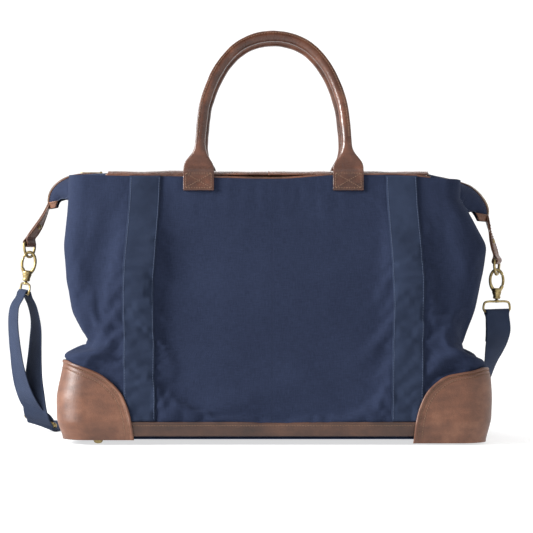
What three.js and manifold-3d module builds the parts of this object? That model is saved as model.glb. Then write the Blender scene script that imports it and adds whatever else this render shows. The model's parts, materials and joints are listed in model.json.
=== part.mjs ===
// Weekender bag: canvas shell, leather corners and handles, zipped top, webbing shoulder strap.
// Millimetres, +Z up, +X towards the bag's right end as seen from its front, -Y the front.
// Origin: the floor point under the centre foot.
import * as THREE from "three";
import { mergeVertices } from "three/addons/utils/BufferGeometryUtils.js";
import Module from "manifold-3d";

const wasm = await Module();
wasm.setup();

// Driving dimensions
const CANVAS = 2; // thickness of the padded canvas
const LEATHER = 1.6;
const WEBBING_WIDTH = 38;
const WEBBING = 1.6;
const GAP = 0.3; // between pieces that touch
const FOOT_HEIGHT = 7.2;
const BASE_UNDERSIDE = 7.5;
const RIM_HEIGHT = 344; // top edge of the front and back panels
const BASE_HALF_DEPTH = 106;
const TOP_HALF_DEPTH = 62;
const CORNER_RADIUS = 34; // plan radius at the base, shrinking towards the rim
const RIM_CORNER_RADIUS = 25;
const END_SINK = 12; // how far the middle of each end falls inwards at the rim
const PATCH_TOP = 107; // height of the leather corners at the ends
const BAND_BOTTOM = 11; // leather base band between the corners
const BAND_TOP = 30;
const CORNER_START = 177; // half the gap between the leather corners at the base
const MOUTH_LEFT = -214; // the zip facings' free length
const MOUTH_RIGHT = 200;
const ZIP_HEIGHT = 346;
const HANDLE_X = 96.4; // half the distance between the feet of a handle
const HANDLE_RADIUS = 6.8;
const HANDLE_TAB_WIDTH = 40;
const HANDLE_FOLD_HEIGHT = 351;
const HANDLE_TOP = 527;
const HANDLE_LEAN = 36; // how far the top of a handle leans over the mouth
const RING_WIRE = 1.8; // wire radius of the D-rings
const HOOK_WIRE = 2;

// Half-length of the shell at each height, for the left and the right end: [height, half-length]
const LEFT_END = [
  [8, 266], [30, 274], [62, 275], [107, 266], [117, 260], [127, 238], [143, 243], [170, 258],
  [212, 266], [259, 272], [302, 267], [346, 262],
];
const RIGHT_END = [
  [8, 268], [30, 276], [62, 277], [101, 275], [115, 269], [127, 243], [134, 240], [156, 251],
  [200, 265], [255, 277], [286, 261], [304, 250], [323, 240], [346, 238],
];
// Edge of a leather corner on the front: [height, distance from the middle of the bag]
const CORNER_EDGE = [
  [8, 177], [35, 181], [51, 186], [67, 194], [79, 205], [91, 221], [98, 238], [PATCH_TOP, 265],
];
// Heights of the rows of points in the canvas walls
const WALL_ROWS = [10, 30, 60, 90, 107, 116, 127, 145, 175, 215, 256, 290, 318, RIM_HEIGHT];

// Materials
function paint(color, roughness, metalness = 0) {
  return new THREE.MeshStandardMaterial({ color, roughness, metalness });
}

const canvas = paint("#3a4470", 0.95);
const webbing = paint("#34406b", 0.9);
const leather = paint("#875f4b", 0.6);
const darkLeather = paint("#6e4637", 0.5);
const brass = paint("#8a7a45", 0.35, 0.9);
const liningCloth = paint("#8c8778", 0.9);
const board = paint("#4a463f", 0.85);
const rope = paint("#cbbf9f", 0.9);
const zipMetal = paint("#6f6238", 0.4, 0.9);

const bag = new THREE.Group();
bag.name = "weekender_bag";

function add(name, geometry, material, parent = bag) {
  const mesh = new THREE.Mesh(geometry, material);
  mesh.name = name;
  parent.add(mesh);
  return mesh;
}

// A smooth value read from a short list of [key, value] pairs.
function read(list, key) {
  const last = list.length - 1;
  if (key <= list[0][0]) return list[0][1];
  if (key >= list[last][0]) return list[last][1];
  const i = list.findIndex((pair) => pair[0] > key) - 1;
  const t = (key - list[i][0]) / (list[i + 1][0] - list[i][0]);
  return THREE.MathUtils.lerp(list[i][1], list[i + 1][1], THREE.MathUtils.smoothstep(t, 0, 1));
}

// Keeps only the positions, with shared corners, and turns the faces outwards.
function closed(geometry) {
  geometry.deleteAttribute("normal");
  geometry.deleteAttribute("uv");
  const merged = mergeVertices(geometry, 1e-4);
  const p = merged.attributes.position;
  const index = merged.index.array;
  const [a, b, c] = [new THREE.Vector3(), new THREE.Vector3(), new THREE.Vector3()];
  let volume = 0;
  for (let i = 0; i < index.length; i += 3) {
    a.fromBufferAttribute(p, index[i]);
    b.fromBufferAttribute(p, index[i + 1]);
    c.fromBufferAttribute(p, index[i + 2]);
    volume += a.dot(b.cross(c));
  }
  if (volume < 0) {
    for (let i = 0; i < index.length; i += 3) [index[i], index[i + 1]] = [index[i + 1], index[i]];
  }
  return merged;
}

// Moves every vertex of a geometry to place(vertex).
function shaped(geometry, place) {
  const p = geometry.attributes.position;
  const v = new THREE.Vector3();
  for (let i = 0; i < p.count; i++) {
    v.fromBufferAttribute(p, i);
    const q = place(v);
    p.setXYZ(i, q.x, q.y, q.z);
  }
  return closed(geometry);
}

// A sheet with thickness: place(u, v, depth) with u, v and depth from 0 to 1.
function sheet(columns, rows, place) {
  const box = new THREE.BoxGeometry(1, 1, 1, columns, rows, 1);
  return shaped(box, (p) => place(p.x + 0.5, p.y + 0.5, p.z + 0.5));
}

// A wire ring along a closed planar outline given as a function of 0..1 in the local XZ plane.
function wireRing(outline, wire, steps = 24, sides = 6) {
  const big = 10;
  const ring = new THREE.TorusGeometry(big, 1, sides, steps);
  const ahead = 1e-3;
  return shaped(ring, (p) => {
    const t = (Math.atan2(p.y, p.x) / (2 * Math.PI) + 1) % 1;
    const here = outline(t);
    const next = outline((t + ahead) % 1);
    const along = next.clone().sub(here).normalize();
    const out = new THREE.Vector2(along.y, -along.x);
    const side = (Math.hypot(p.x, p.y) - big) * wire;
    return new THREE.Vector3(here.x + out.x * side, p.z * wire, here.y + out.y * side);
  });
}

function solid(geometry) {
  return new wasm.Manifold(
    new wasm.Mesh({
      numProp: 3,
      vertProperties: new Float32Array(geometry.attributes.position.array),
      triVerts: new Uint32Array(geometry.index.array),
    }),
  );
}

function geometryOf(manifold) {
  const mesh = manifold.getMesh();
  const geometry = new THREE.BufferGeometry();
  geometry.setAttribute("position", new THREE.BufferAttribute(mesh.vertProperties, 3));
  geometry.setIndex(new THREE.BufferAttribute(mesh.triVerts, 1));
  return geometry;
}

const joined = (a, b) => geometryOf(solid(a).add(solid(b)));
const cutFrom = (a, b) => geometryOf(solid(a).subtract(solid(b)));
const common = (a, b) => geometryOf(solid(a).intersect(solid(b)));

// ---- The shell's surface -------------------------------------------------------------------
const rise = (z) => THREE.MathUtils.clamp((z - BAND_TOP) / (RIM_HEIGHT - BAND_TOP), 0, 1);
const cornerRadius = (z) => THREE.MathUtils.lerp(CORNER_RADIUS, RIM_CORNER_RADIUS, rise(z));
const halfLength = (end, z) => read(end < 0 ? LEFT_END : RIGHT_END, z);

const BASE_TUCK = 10; // how far the panels roll under at the base
const BELLY = 5; // how far the panels swell between rim and base

function halfDepth(z) {
  const tuck = BASE_TUCK * (1 - THREE.MathUtils.smoothstep(z, 0, BAND_TOP));
  return THREE.MathUtils.lerp(BASE_HALF_DEPTH, TOP_HALF_DEPTH, rise(z)) - tuck;
}

const flatLength = (end, z) => halfLength(end, z) - cornerRadius(z);
const flatDepth = (z) => halfDepth(z) - cornerRadius(z);
const cornerArc = (z) => (cornerRadius(z) * Math.PI) / 2;
const walkLength = (end, z) => flatLength(end, z) + cornerArc(z) + flatDepth(z);

// A point of the shell, found by walking from the middle of the front (side -1) or the back (+1)
// round the corner at one end (-1 left, +1 right). inset is measured inwards from the canvas face.
function skin(end, side, walk, z, inset) {
  const radius = cornerRadius(z);
  const flat = flatLength(end, z);
  const belly = BELLY * Math.sin(Math.PI * rise(z));
  let x, y, angle;
  if (walk < flat) {
    x = walk;
    y = halfDepth(z) + belly * (1 - (walk / flat) ** 2);
    angle = Math.PI / 2;
  } else if (walk < flat + cornerArc(z)) {
    angle = Math.PI / 2 - (walk - flat) / radius;
    x = flat + radius * Math.cos(angle);
    y = flatDepth(z) + radius * Math.sin(angle);
  } else {
    const left = flatDepth(z) - (walk - flat - cornerArc(z));
    x = halfLength(end, z) - END_SINK * rise(z) * (1 - (left / flatDepth(z)) ** 2);
    y = left;
    angle = 0;
  }
  x -= inset * Math.cos(angle);
  y -= inset * Math.sin(angle);
  return new THREE.Vector3(end * x, side * y, z);
}

// Reads a row height from a list, for v from 0 to 1 in equal steps.
function rowHeight(rows, v) {
  return rows[Math.round(v * (rows.length - 1))];
}

// ---- Canvas shell, base and lining ---------------------------------------------------------
function wallPanel(side) {
  const rows = WALL_ROWS;
  return sheet(14, rows.length - 1, (u, v, w) => {
    const z = rowHeight(rows, v);
    const s = 2 * u - 1;
    const end = s < 0 ? -1 : 1;
    const walk = Math.abs(s) * (flatLength(end, z) + cornerArc(z) / 2 - GAP / 2);
    return skin(end, side, walk, z, w * CANVAS);
  });
}

function gusset(end) {
  const rows = WALL_ROWS.slice(0, -1);
  return sheet(6, rows.length - 1, (u, v, w) => {
    const z = rowHeight(rows, v);
    const s = 2 * u - 1;
    const side = s < 0 ? -1 : 1;
    const reach = Math.abs(s) * (flatDepth(z) + cornerArc(z) / 2 - GAP / 2);
    return skin(end, side, walkLength(end, z) - reach, z, w * CANVAS);
  });
}

// The shell's outline at one height as a flat shape.
function planShape(z, inset) {
  const points = [];
  const steps = 6;
  for (const [end, side] of [[1, -1], [1, 1], [-1, 1], [-1, -1]]) {
    const flat = flatLength(end, z);
    const forwards = end === -side;
    for (let i = 0; i <= steps; i++) {
      const turn = forwards ? i / steps : 1 - i / steps;
      const p = skin(end, side, flat + turn * cornerArc(z), z, inset);
      points.push(new THREE.Vector2(p.x, p.y));
    }
  }
  return new THREE.Shape(points);
}

function flatPlate(z, thickness, inset) {
  const settings = { depth: thickness, bevelEnabled: false };
  const plate = new THREE.ExtrudeGeometry(planShape(z, inset), settings);
  plate.translate(0, 0, z);
  return closed(plate);
}

// A solid plug with the shell's plan, from one height to another, inside it by an inset.
function plug(inset, low, high) {
  const levels = [low, ...WALL_ROWS.filter((z) => z > low + 5 && z < high - 5), high];
  const round = new THREE.CylinderGeometry(1, 1, 1, 32, levels.length - 1);
  return shaped(round, (p) => {
    const z = rowHeight(levels, p.y + 0.5);
    const radius = Math.hypot(p.x, p.z);
    if (radius < 0.5) return new THREE.Vector3(0, 0, z);
    const end = p.x < 0 ? -1 : 1;
    const side = p.z < 0 ? -1 : 1;
    const quarter = Math.atan2(Math.abs(p.z), Math.abs(p.x)) / (Math.PI / 2);
    return skin(end, side, (1 - quarter) * walkLength(end, z), z, inset);
  });
}

const BOARD_UNDERSIDE = 10.2;
const BOARD = 2.4;
const BOARD_INSET = 6;
const LINING_FLOOR = 13.2;
const LINING_TOP = 330;
const LINING_SLACK = 7; // gap between the canvas and the lining
const LINING = 1.6;

// The lining is an open-topped bag that hangs loosely inside the canvas.
function liningShape() {
  const outer = plug(CANVAS + LINING_SLACK, LINING_FLOOR, LINING_TOP);
  const inner = plug(CANVAS + LINING_SLACK + LINING, LINING_FLOOR + LINING, LINING_TOP + 5);
  return cutFrom(outer, inner);
}

for (const [name, side] of [["front", -1], ["back", 1]]) {
  add(name + "_panel", wallPanel(side), canvas);
}
for (const [name, end] of [["left", -1], ["right", 1]]) {
  add(name + "_gusset", gusset(end), canvas);
}
add("base_panel", flatPlate(BASE_UNDERSIDE, CANVAS, 0), canvas);
add("base_board", flatPlate(BOARD_UNDERSIDE, BOARD, BOARD_INSET), board);
add("lining", liningShape(), liningCloth);

// ---- Leather base bands, corners and webbing bands -----------------------------------------
const ON_CANVAS = -GAP; // inset of the inner face of a piece sewn on the canvas
const ON_WEBBING = -2.3; // inset of the inner face of a piece sewn over the webbing

function baseBand(side) {
  return sheet(8, 2, (u, v, w) => {
    const s = 2 * u - 1;
    const z = THREE.MathUtils.lerp(BAND_BOTTOM, BAND_TOP, v);
    return skin(s < 0 ? -1 : 1, side, Math.abs(s) * (CORNER_START - 1), z, ON_CANVAS - w * LEATHER);
  });
}

function leatherCorner(end, side) {
  const rows = [8.5, 30, 45, 60, 75, 90, 98, 102.5, PATCH_TOP];
  const [frontSteps, cornerSteps, endSteps] = [3, 4, 2];
  const columns = frontSteps + cornerSteps + endSteps;
  return sheet(columns, rows.length - 1, (u, v, w) => {
    const z = rowHeight(rows, v);
    const edge = read(CORNER_EDGE, z);
    const cornerFrom = Math.max(flatLength(end, z), edge + 3);
    const cornerTo = Math.max(flatLength(end, z) + cornerArc(z), edge + 6);
    const step = Math.round(u * columns);
    let walk;
    if (step <= frontSteps) {
      walk = THREE.MathUtils.lerp(edge, cornerFrom, step / frontSteps);
    } else if (step <= frontSteps + cornerSteps) {
      walk = THREE.MathUtils.lerp(cornerFrom, cornerTo, (step - frontSteps) / cornerSteps);
    } else {
      const pastCorner = (step - frontSteps - cornerSteps) / endSteps;
      walk = THREE.MathUtils.lerp(cornerTo, walkLength(end, z) - GAP, pastCorner);
    }
    return skin(end, side, walk, z, ON_WEBBING - w * LEATHER);
  });
}

const bandCentre = (z) => read([[30, 170], [190, 173], [RIM_HEIGHT, 165]], z);

function webbingBand(end, side) {
  const rows = [BAND_TOP + 0.6, 60, 110, 190, 270, RIM_HEIGHT];
  return sheet(3, rows.length - 1, (u, v, w) => {
    const z = rowHeight(rows, v);
    const walk = bandCentre(z) + (u - 0.5) * WEBBING_WIDTH;
    return skin(end, side, walk, z, ON_CANVAS - w * WEBBING);
  });
}

for (const [sideName, side] of [["front", -1], ["back", 1]]) {
  add(sideName + "_base_band", baseBand(side), leather);
  for (const [endName, end] of [["left", -1], ["right", 1]]) {
    add(`${sideName}_${endName}_corner`, leatherCorner(end, side), leather);
    add(`${sideName}_${endName}_webbing`, webbingBand(end, side), webbing);
  }
}

// ---- Feet ----------------------------------------------------------------------------------
function foot() {
  const profile = [
    [0, 0], [3.2, 0], [4.8, 1.6], [4.8, 4.4], [6.4, 5.2], [6.4, FOOT_HEIGHT], [0, FOOT_HEIGHT],
  ];
  const lathe = new THREE.LatheGeometry(profile.map(([r, z]) => new THREE.Vector2(r, z)), 10);
  return closed(lathe.rotateX(Math.PI / 2));
}

const FOOT_X = 225;
const FOOT_Y = 72;
for (const [name, x, y] of [
  ["foot_front_left", -FOOT_X, -FOOT_Y], ["foot_front_right", FOOT_X, -FOOT_Y],
  ["foot_back_left", -FOOT_X, FOOT_Y], ["foot_back_right", FOOT_X, FOOT_Y], ["foot_centre", 0, 0],
]) {
  add(name, foot(), brass).position.set(x, y, 0);
}

// ---- Zipped top ----------------------------------------------------------------------------
// Section of a zip facing from the canvas edge to the zip: [distance from the middle, height]
const FACING_HINGE_Y = 59.4;
const FACING_SECTION = [
  [FACING_HINGE_Y, 346.2], [52, 349.4], [42, 351], [30, 350.2], [18, 348], [7.6, 347],
];
const TEETH_INNER = 0.7;
const TEETH_OUTER = 7.2;

function facing(side) {
  const curve = new THREE.SplineCurve(FACING_SECTION.map(([y, z]) => new THREE.Vector2(y, z)));
  return sheet(4, 7, (u, v, w) => {
    const p = curve.getPoint(v);
    return new THREE.Vector3(
      THREE.MathUtils.lerp(MOUTH_LEFT, MOUTH_RIGHT, u), side * p.x, p.y - w * LEATHER,
    );
  });
}

function teeth(side) {
  const bar = new THREE.BoxGeometry(MOUTH_RIGHT - MOUTH_LEFT, TEETH_OUTER - TEETH_INNER, 1.6);
  const y = (side * (TEETH_OUTER + TEETH_INNER)) / 2;
  return closed(bar.translate((MOUTH_RIGHT + MOUTH_LEFT) / 2, y, ZIP_HEIGHT));
}

// An ear: the closed end of the zipped top, which folds down over the end of the bag.
// Stations along its ridge: [x, z] of the ridge, half-width across the bag, depth of the flanks.
const LEFT_EAR = [
  [-216, 351, 57.5, 6], [-238, 350.5, 55, 8], [-262, 346.5, 49, 20], [-281, 338, 39, 24],
  [-292, 326, 27, 20], [-295, 314, 18, 12], [-293, 303, 12, 7],
];
const RIGHT_EAR = [
  [202, 350, 56.5, 7], [222, 345.5, 52, 9], [242, 338.5, 45, 15], [260, 331, 38, 18],
  [274, 318, 28, 15], [281, 304, 18, 9], [280, 291, 12, 6],
];

const ZIP_SUNK = 4.5; // how far the zip lies below the ridge's shoulders

function earSurface(stations, v) {
  const ridge = new THREE.CatmullRomCurve3(stations.map(([x, z]) => new THREE.Vector3(x, 0, z)));
  const sizes = stations.map(([, , width, depth]) => new THREE.Vector3(width, depth, 0));
  const girth = new THREE.CatmullRomCurve3(sizes);
  const at = ridge.getPoint(v);
  const along = ridge.getTangent(v);
  const size = girth.getPoint(v);
  const end = Math.sign(stations[0][0]);
  const down = new THREE.Vector3(end * along.z, 0, -end * along.x);
  const valley = ZIP_SUNK * (1 - THREE.MathUtils.smoothstep(v, 0, 0.55));
  return (turn, inset) => {
    const angle = (turn * Math.PI) / 2;
    const sunk = valley * Math.cos(angle) ** 4 + inset * Math.cos(angle);
    const p = at.clone().addScaledVector(down, size.y * (1 - Math.cos(angle)) + sunk);
    p.y = (size.x - inset) * Math.sin(angle);
    return p;
  };
}

function ear(stations, from, to, outer, inner, columns, rows) {
  return sheet(columns, rows, (u, v, w) => {
    const section = earSurface(stations, THREE.MathUtils.lerp(from, to, v));
    return section(2 * u - 1, THREE.MathUtils.lerp(outer, inner, w));
  });
}

// The left ear has a slot for the post of the parked zip slider.
const SLOT_START = -238;
const SLOT_END = -210;
const SLIDER_PARK = -227;
const slot = new THREE.BoxGeometry(SLOT_END - SLOT_START, 2 * TEETH_INNER + 0.4, 30);
slot.translate((SLOT_START + SLOT_END) / 2, 0, ZIP_HEIGHT);
const EAR_END = 0.985; // share of the ridge the canvas covers
const WRAP_START = 0.86; // where the leather end wrap begins
const WRAP_INSET = -1.5 * GAP;
const canvasEar = (stations) => ear(stations, 0, EAR_END, 0, CANVAS, 10, 10);
const endWrap = (stations) => ear(stations, WRAP_START, 1, WRAP_INSET, WRAP_INSET - LEATHER, 10, 2);
add("left_ear", cutFrom(canvasEar(LEFT_EAR), closed(slot)), canvas);
add("right_ear", canvasEar(RIGHT_EAR), canvas);
add("left_zip_end", endWrap(LEFT_EAR), leather);
add("right_zip_end", endWrap(RIGHT_EAR), leather);
for (const [name, side] of [["front", -1], ["back", 1]]) {
  add(name + "_zip_facing", facing(side), darkLeather);
  add(name + "_zip_teeth", teeth(side), zipMetal);
}

// Zip slider: an upper and a lower plate joined by a thin post that runs between the teeth, with
// two lugs and a pin on top for the pull tab.
const PIN_HEIGHT = 4.6;
const PIN_RADIUS = 0.5;
const LUG_Y = 2.6;

function zipSlider() {
  const block = (size, at) => closed(new THREE.BoxGeometry(...size).translate(...at));
  const upperPlate = block([11, 9, 1.4], [0, 0, 2]);
  const lowerPlate = block([11, 9, 1], [0, 0, -2.6]);
  const post = block([6, 2 * TEETH_INNER - 0.6, 6], [-1, 0, 0]);
  const lugs = [-LUG_Y, LUG_Y].map((y) => block([3, 1, 4], [0, y, 3.9]));
  const pin = new THREE.CylinderGeometry(PIN_RADIUS, PIN_RADIUS, 2 * LUG_Y, 8);
  pin.translate(0, 0, PIN_HEIGHT);
  return [upperPlate, lowerPlate, post, ...lugs, closed(pin)].reduce(joined);
}

const slider = add("zip_slider", zipSlider(), brass);
slider.position.set(SLIDER_PARK, 0, ZIP_HEIGHT);

// Pull tab: a knuckle round the slider's pin and a flat tab, lying along the ear.
function zipPuller() {
  const [wide, narrow, neck, long, thickness] = [3.6, 1.5, 3.4, 24, 1];
  const section = new THREE.Shape().absarc(0, 0, PIN_RADIUS + 1.1, 0, 2 * Math.PI);
  section.holes.push(new THREE.Path().absarc(0, 0, PIN_RADIUS + 0.4, 0, 2 * Math.PI));
  const round = { depth: 2 * narrow, bevelEnabled: false, curveSegments: 5 };
  const knuckle = new THREE.ExtrudeGeometry(section, round);
  knuckle.translate(0, 0, -narrow).rotateX(Math.PI / 2);
  const outline = new THREE.Shape();
  outline.moveTo(-1.2, -narrow);
  outline.lineTo(-1.2, narrow);
  outline.lineTo(-neck, narrow);
  outline.lineTo(-neck - 2, wide - 0.2);
  outline.absarc(-long, 0, wide, Math.PI / 2, 1.5 * Math.PI);
  outline.lineTo(-neck - 2, 0.2 - wide);
  outline.lineTo(-neck, -narrow);
  const flat = { depth: thickness, bevelEnabled: false, curveSegments: 6 };
  const tab = new THREE.ExtrudeGeometry(outline, flat);
  return joined(closed(knuckle), closed(tab.translate(0, 0, -thickness / 2)));
}

const puller = add("zip_puller", zipPuller(), brass);
puller.position.set(SLIDER_PARK, 0, ZIP_HEIGHT + PIN_HEIGHT);

// ---- Handles -------------------------------------------------------------------------------
const PATCH_BOTTOM = 325;
const PATCH_TOP_EDGE = HANDLE_FOLD_HEIGHT - 0.3;
const NECK_BOTTOM = HANDLE_FOLD_HEIGHT + 0.7;
const NECK_TOP = 384.6;
const HANDLE_Y = halfDepth(RIM_HEIGHT) + 2.6; // middle of the handle leather at the fold
// Centre line of a handle from its foot to its top: [x, z]
const HANDLE_ARCH = [
  [94.6, 386.4], [92.6, 412], [89.4, 436], [83, 457], [74.5, 477], [61.5, 497], [43, 514.5],
  [22, 524], [0, HANDLE_TOP],
];
const HANDLE_HOLLOW = 4.6; // inner radius of the rolled leather
const ROPE_RADIUS = 3.7;
const HANDLE_PATCH = 3.2; // thickness of the leather sewn on the panel

const handleY = (z) => {
  const t = (z - HANDLE_FOLD_HEIGHT) / (HANDLE_TOP - HANDLE_FOLD_HEIGHT);
  return HANDLE_Y - HANDLE_LEAN * t;
};

function handleCurve(side) {
  const right = HANDLE_ARCH.map(([x, z]) => new THREE.Vector3(x, side * handleY(z), z));
  const left = right.slice(0, -1).map((p) => new THREE.Vector3(-p.x, p.y, p.z));
  return new THREE.CatmullRomCurve3([...left, ...right.reverse()]);
}

function handleTube(side, radius, hollow, steps, sides) {
  const section = new THREE.Shape().absarc(0, 0, radius, 0, 2 * Math.PI);
  if (hollow) section.holes.push(new THREE.Path().absarc(0, 0, hollow, 0, 2 * Math.PI));
  const settings = { steps, extrudePath: handleCurve(side), curveSegments: sides / 2 };
  return closed(new THREE.ExtrudeGeometry(section, settings));
}

function handlePatch(side, x) {
  return sheet(4, 3, (u, v, w) => {
    const z = THREE.MathUtils.lerp(PATCH_BOTTOM, PATCH_TOP_EDGE, v);
    const p = skin(Math.sign(x), side, Math.abs(x), Math.min(z, RIM_HEIGHT), ON_CANVAS);
    return new THREE.Vector3(x + (u - 0.5) * HANDLE_TAB_WIDTH, p.y + side * w * HANDLE_PATCH, z);
  });
}

// The neck turns from the flat patch into the round tube.
function handleNeck(side, foot) {
  const neck = new THREE.CylinderGeometry(1, 1, 1, 12, 5);
  return shaped(neck, (p) => {
    const v = p.y + 0.5;
    const flare = THREE.MathUtils.smoothstep(v, 0, 0.9);
    const z = THREE.MathUtils.lerp(NECK_BOTTOM, NECK_TOP, v);
    const halfWidth = THREE.MathUtils.lerp(HANDLE_TAB_WIDTH / 2 - 1, HANDLE_RADIUS, flare);
    const halfThick = THREE.MathUtils.lerp(HANDLE_PATCH / 2, HANDLE_RADIUS, flare);
    const x = foot * THREE.MathUtils.lerp(HANDLE_X, HANDLE_ARCH[0][0], v);
    return new THREE.Vector3(x + p.x * halfWidth, side * (handleY(z) - p.z * halfThick), z);
  });
}

for (const [name, side] of [["front", -1], ["back", 1]]) {
  add(name + "_handle_leather", handleTube(side, HANDLE_RADIUS, HANDLE_HOLLOW, 20, 8), darkLeather);
  add(name + "_handle_core", handleTube(side, ROPE_RADIUS, 0, 20, 6), rope);
  for (const [endName, end] of [["left", -1], ["right", 1]]) {
    add(`${name}_${endName}_handle_patch`, handlePatch(side, end * HANDLE_X), darkLeather);
    add(`${name}_${endName}_handle_neck`, handleNeck(side, end), darkLeather);
  }
}

// ---- D-ring tabs, D-rings and strap hooks --------------------------------------------------
// Each end's ring chain hangs from the bar of its D-ring.
const RING_BAR = {
  left: new THREE.Vector3(-321.5, 0, 257.5),
  right: new THREE.Vector3(294.5, 0, 234.5),
};
const TAB_ROOT = {
  left: new THREE.Vector3(-299.2, 0, 305),
  right: new THREE.Vector3(285.6, 0, 289),
};
const RING_TWIST = { left: -24, right: -20 }; // degrees: how far a ring's bar turns from the Y axis
const BAIL_TWIST = { left: -68, right: 32 }; // degrees: how far a bail turns from the X axis
const CHAIN_LEAN = { left: 8, right: 0 }; // degrees: how far hook and bail lean outwards
const TAB_WIDTH = 22;
const TAB = 3.4; // thickness of the doubled leather tab
const LOOP_RADIUS = 5.2; // outside of the loop round the D-ring's bar
const RING_DROP = 18; // from the D-ring's bar to its lowest wire
const RING_HALF_WIDTH = 13;
const HOOK_PLAY = 2.5; // free height between hook and D-ring
const HOOK_TOP = -RING_DROP + RING_WIRE + HOOK_WIRE + HOOK_PLAY;

// Leather tab, from the zip end down to the D-ring, twisting on the way.
function ringTab(end) {
  const root = TAB_ROOT[end];
  const bar = RING_BAR[end];
  const middle = root.clone().lerp(bar, 0.5).add(new THREE.Vector3(0, 0, -1.5));
  const foot = bar.clone().add(new THREE.Vector3(0, 0, 4.4));
  const path = new THREE.CatmullRomCurve3([root, middle, foot]);
  return sheet(2, 10, (u, v, w) => {
    const twist = THREE.MathUtils.degToRad(RING_TWIST[end]) * THREE.MathUtils.smoothstep(v, 0.1, 0.8);
    const across = new THREE.Vector3(-Math.sin(twist), Math.cos(twist), 0);
    const along = path.getTangent(v);
    const out = along.clone().cross(across).normalize();
    const p = path.getPoint(v).addScaledVector(across, (u - 0.5) * TAB_WIDTH);
    return p.addScaledVector(out, (w - 0.5) * TAB);
  });
}

// The loop that the tab's end makes round the D-ring's bar.
function tabLoop(end) {
  const section = new THREE.Shape().absarc(0, 0, LOOP_RADIUS, 0, 2 * Math.PI);
  section.holes.push(new THREE.Path().absarc(0, 0, RING_WIRE + 1.2, 0, 2 * Math.PI));
  const settings = { depth: TAB_WIDTH, bevelEnabled: false, curveSegments: 8 };
  const loop = new THREE.ExtrudeGeometry(section, settings);
  loop.translate(0, 0, -TAB_WIDTH / 2).rotateX(Math.PI / 2);
  loop.rotateZ(THREE.MathUtils.degToRad(RING_TWIST[end]));
  const bar = RING_BAR[end];
  return closed(loop.translate(bar.x, bar.y, bar.z));
}

// Outline of a D: straight bar at the top, rounded below. Parameter 0..1 all the way round.
const ringPoints = [
  [-RING_HALF_WIDTH, 0], [-6, 0], [0, 0], [6, 0], [RING_HALF_WIDTH, 0], [RING_HALF_WIDTH + 0.6, -5],
  [10.5, -12.5], [5.5, -17], [0, -RING_DROP], [-5.5, -17], [-10.5, -12.5], [-RING_HALF_WIDTH - 0.6, -5],
].map(([x, z]) => new THREE.Vector3(x, z, 0));

function outlineOf(points) {
  const curve = new THREE.CatmullRomCurve3(points.map((p) => p.clone()).reverse(), true, "centripetal");
  return (t) => {
    const p = curve.getPoint(t);
    return new THREE.Vector2(p.x, p.y);
  };
}

const HOOK_LENGTH = 28;
const HOOK_HALF_WIDTH = 8.6;
const HOOK_MIDDLE = HOOK_TOP - HOOK_LENGTH / 2;
const hookPoints = [];
for (let i = 0; i < 12; i++) {
  const a = Math.PI / 2 - (i / 12) * 2 * Math.PI;
  const z = HOOK_MIDDLE + (HOOK_LENGTH / 2) * Math.sin(a);
  hookPoints.push(new THREE.Vector3(HOOK_HALF_WIDTH * Math.cos(a), z, 0));
}
const BARREL_TOP = HOOK_TOP - HOOK_LENGTH + 3.5;
const BARREL_BOTTOM = BARREL_TOP - 14;
const BAIL_TOP = BARREL_BOTTOM - 3.4;
const BAIL_DROP = 12.5;
const BAIL_HALF_WIDTH = 22;
const BAIL_WIRE = 1.5;
const STUD_HEAD = 3.2;
const STUD_STEM = 1.6;

function lathe(profile, sides = 12) {
  const made = new THREE.LatheGeometry(profile.map(([r, z]) => new THREE.Vector2(r, z)), sides);
  return closed(made.rotateX(Math.PI / 2));
}

// The oval of the hook with its swivel barrel, which is open below for the bail's stud.
const hookOval = () => wireRing(outlineOf(hookPoints), HOOK_WIRE, 20, 6);
const barrel = () => lathe([
  [0, BARREL_TOP], [7.2, BARREL_TOP - 1], [6, BARREL_TOP - 6], [4.6, BARREL_BOTTOM + 1],
  [4.2, BARREL_BOTTOM], [STUD_STEM + 0.5, BARREL_BOTTOM], [STUD_STEM + 0.5, BARREL_BOTTOM + 2],
  [STUD_HEAD + 0.5, BARREL_BOTTOM + 2.4], [STUD_HEAD + 0.5, BARREL_BOTTOM + 7.4],
  [0, BARREL_BOTTOM + 7.4],
].reverse());

// The spring gate is the outer long side of the oval, with a wider gap at its pivot end.
const GATE_GAP = 0.7;
const GATE_PIVOT_GAP = 1;

const GATE_LENGTH = 15;

function gateBox(gapAbove, gapBelow) {
  const box = new THREE.BoxGeometry(6, 8, GATE_LENGTH - gapAbove - gapBelow);
  return closed(box.translate(HOOK_HALF_WIDTH, 0, HOOK_MIDDLE + (gapBelow - gapAbove) / 2));
}

function bailShape() {
  const top = BAIL_TOP;
  const bottom = top - BAIL_DROP;
  const points = [
    [0, top], [14, top], [BAIL_HALF_WIDTH - 2, top - 1.6], [BAIL_HALF_WIDTH, top - 7],
    [BAIL_HALF_WIDTH, bottom + 3], [BAIL_HALF_WIDTH - 2, bottom], [12, bottom], [0, bottom],
    [-12, bottom], [2 - BAIL_HALF_WIDTH, bottom], [-BAIL_HALF_WIDTH, bottom + 3],
    [-BAIL_HALF_WIDTH, top - 7], [2 - BAIL_HALF_WIDTH, top - 1.6], [-14, top],
  ].map(([x, z]) => new THREE.Vector3(x, z, 0));
  const stud = lathe([
    [0, top - 1.5], [3, top - 1.5], [3, top + 2.4], [STUD_STEM, top + 2.9],
    [STUD_STEM, BARREL_BOTTOM + 3], [STUD_HEAD, BARREL_BOTTOM + 3.4],
    [STUD_HEAD, BARREL_BOTTOM + 6.6], [0, BARREL_BOTTOM + 6.9],
  ], 10);
  return joined(wireRing(outlineOf(points), BAIL_WIRE, 26, 5), stud);
}

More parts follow.
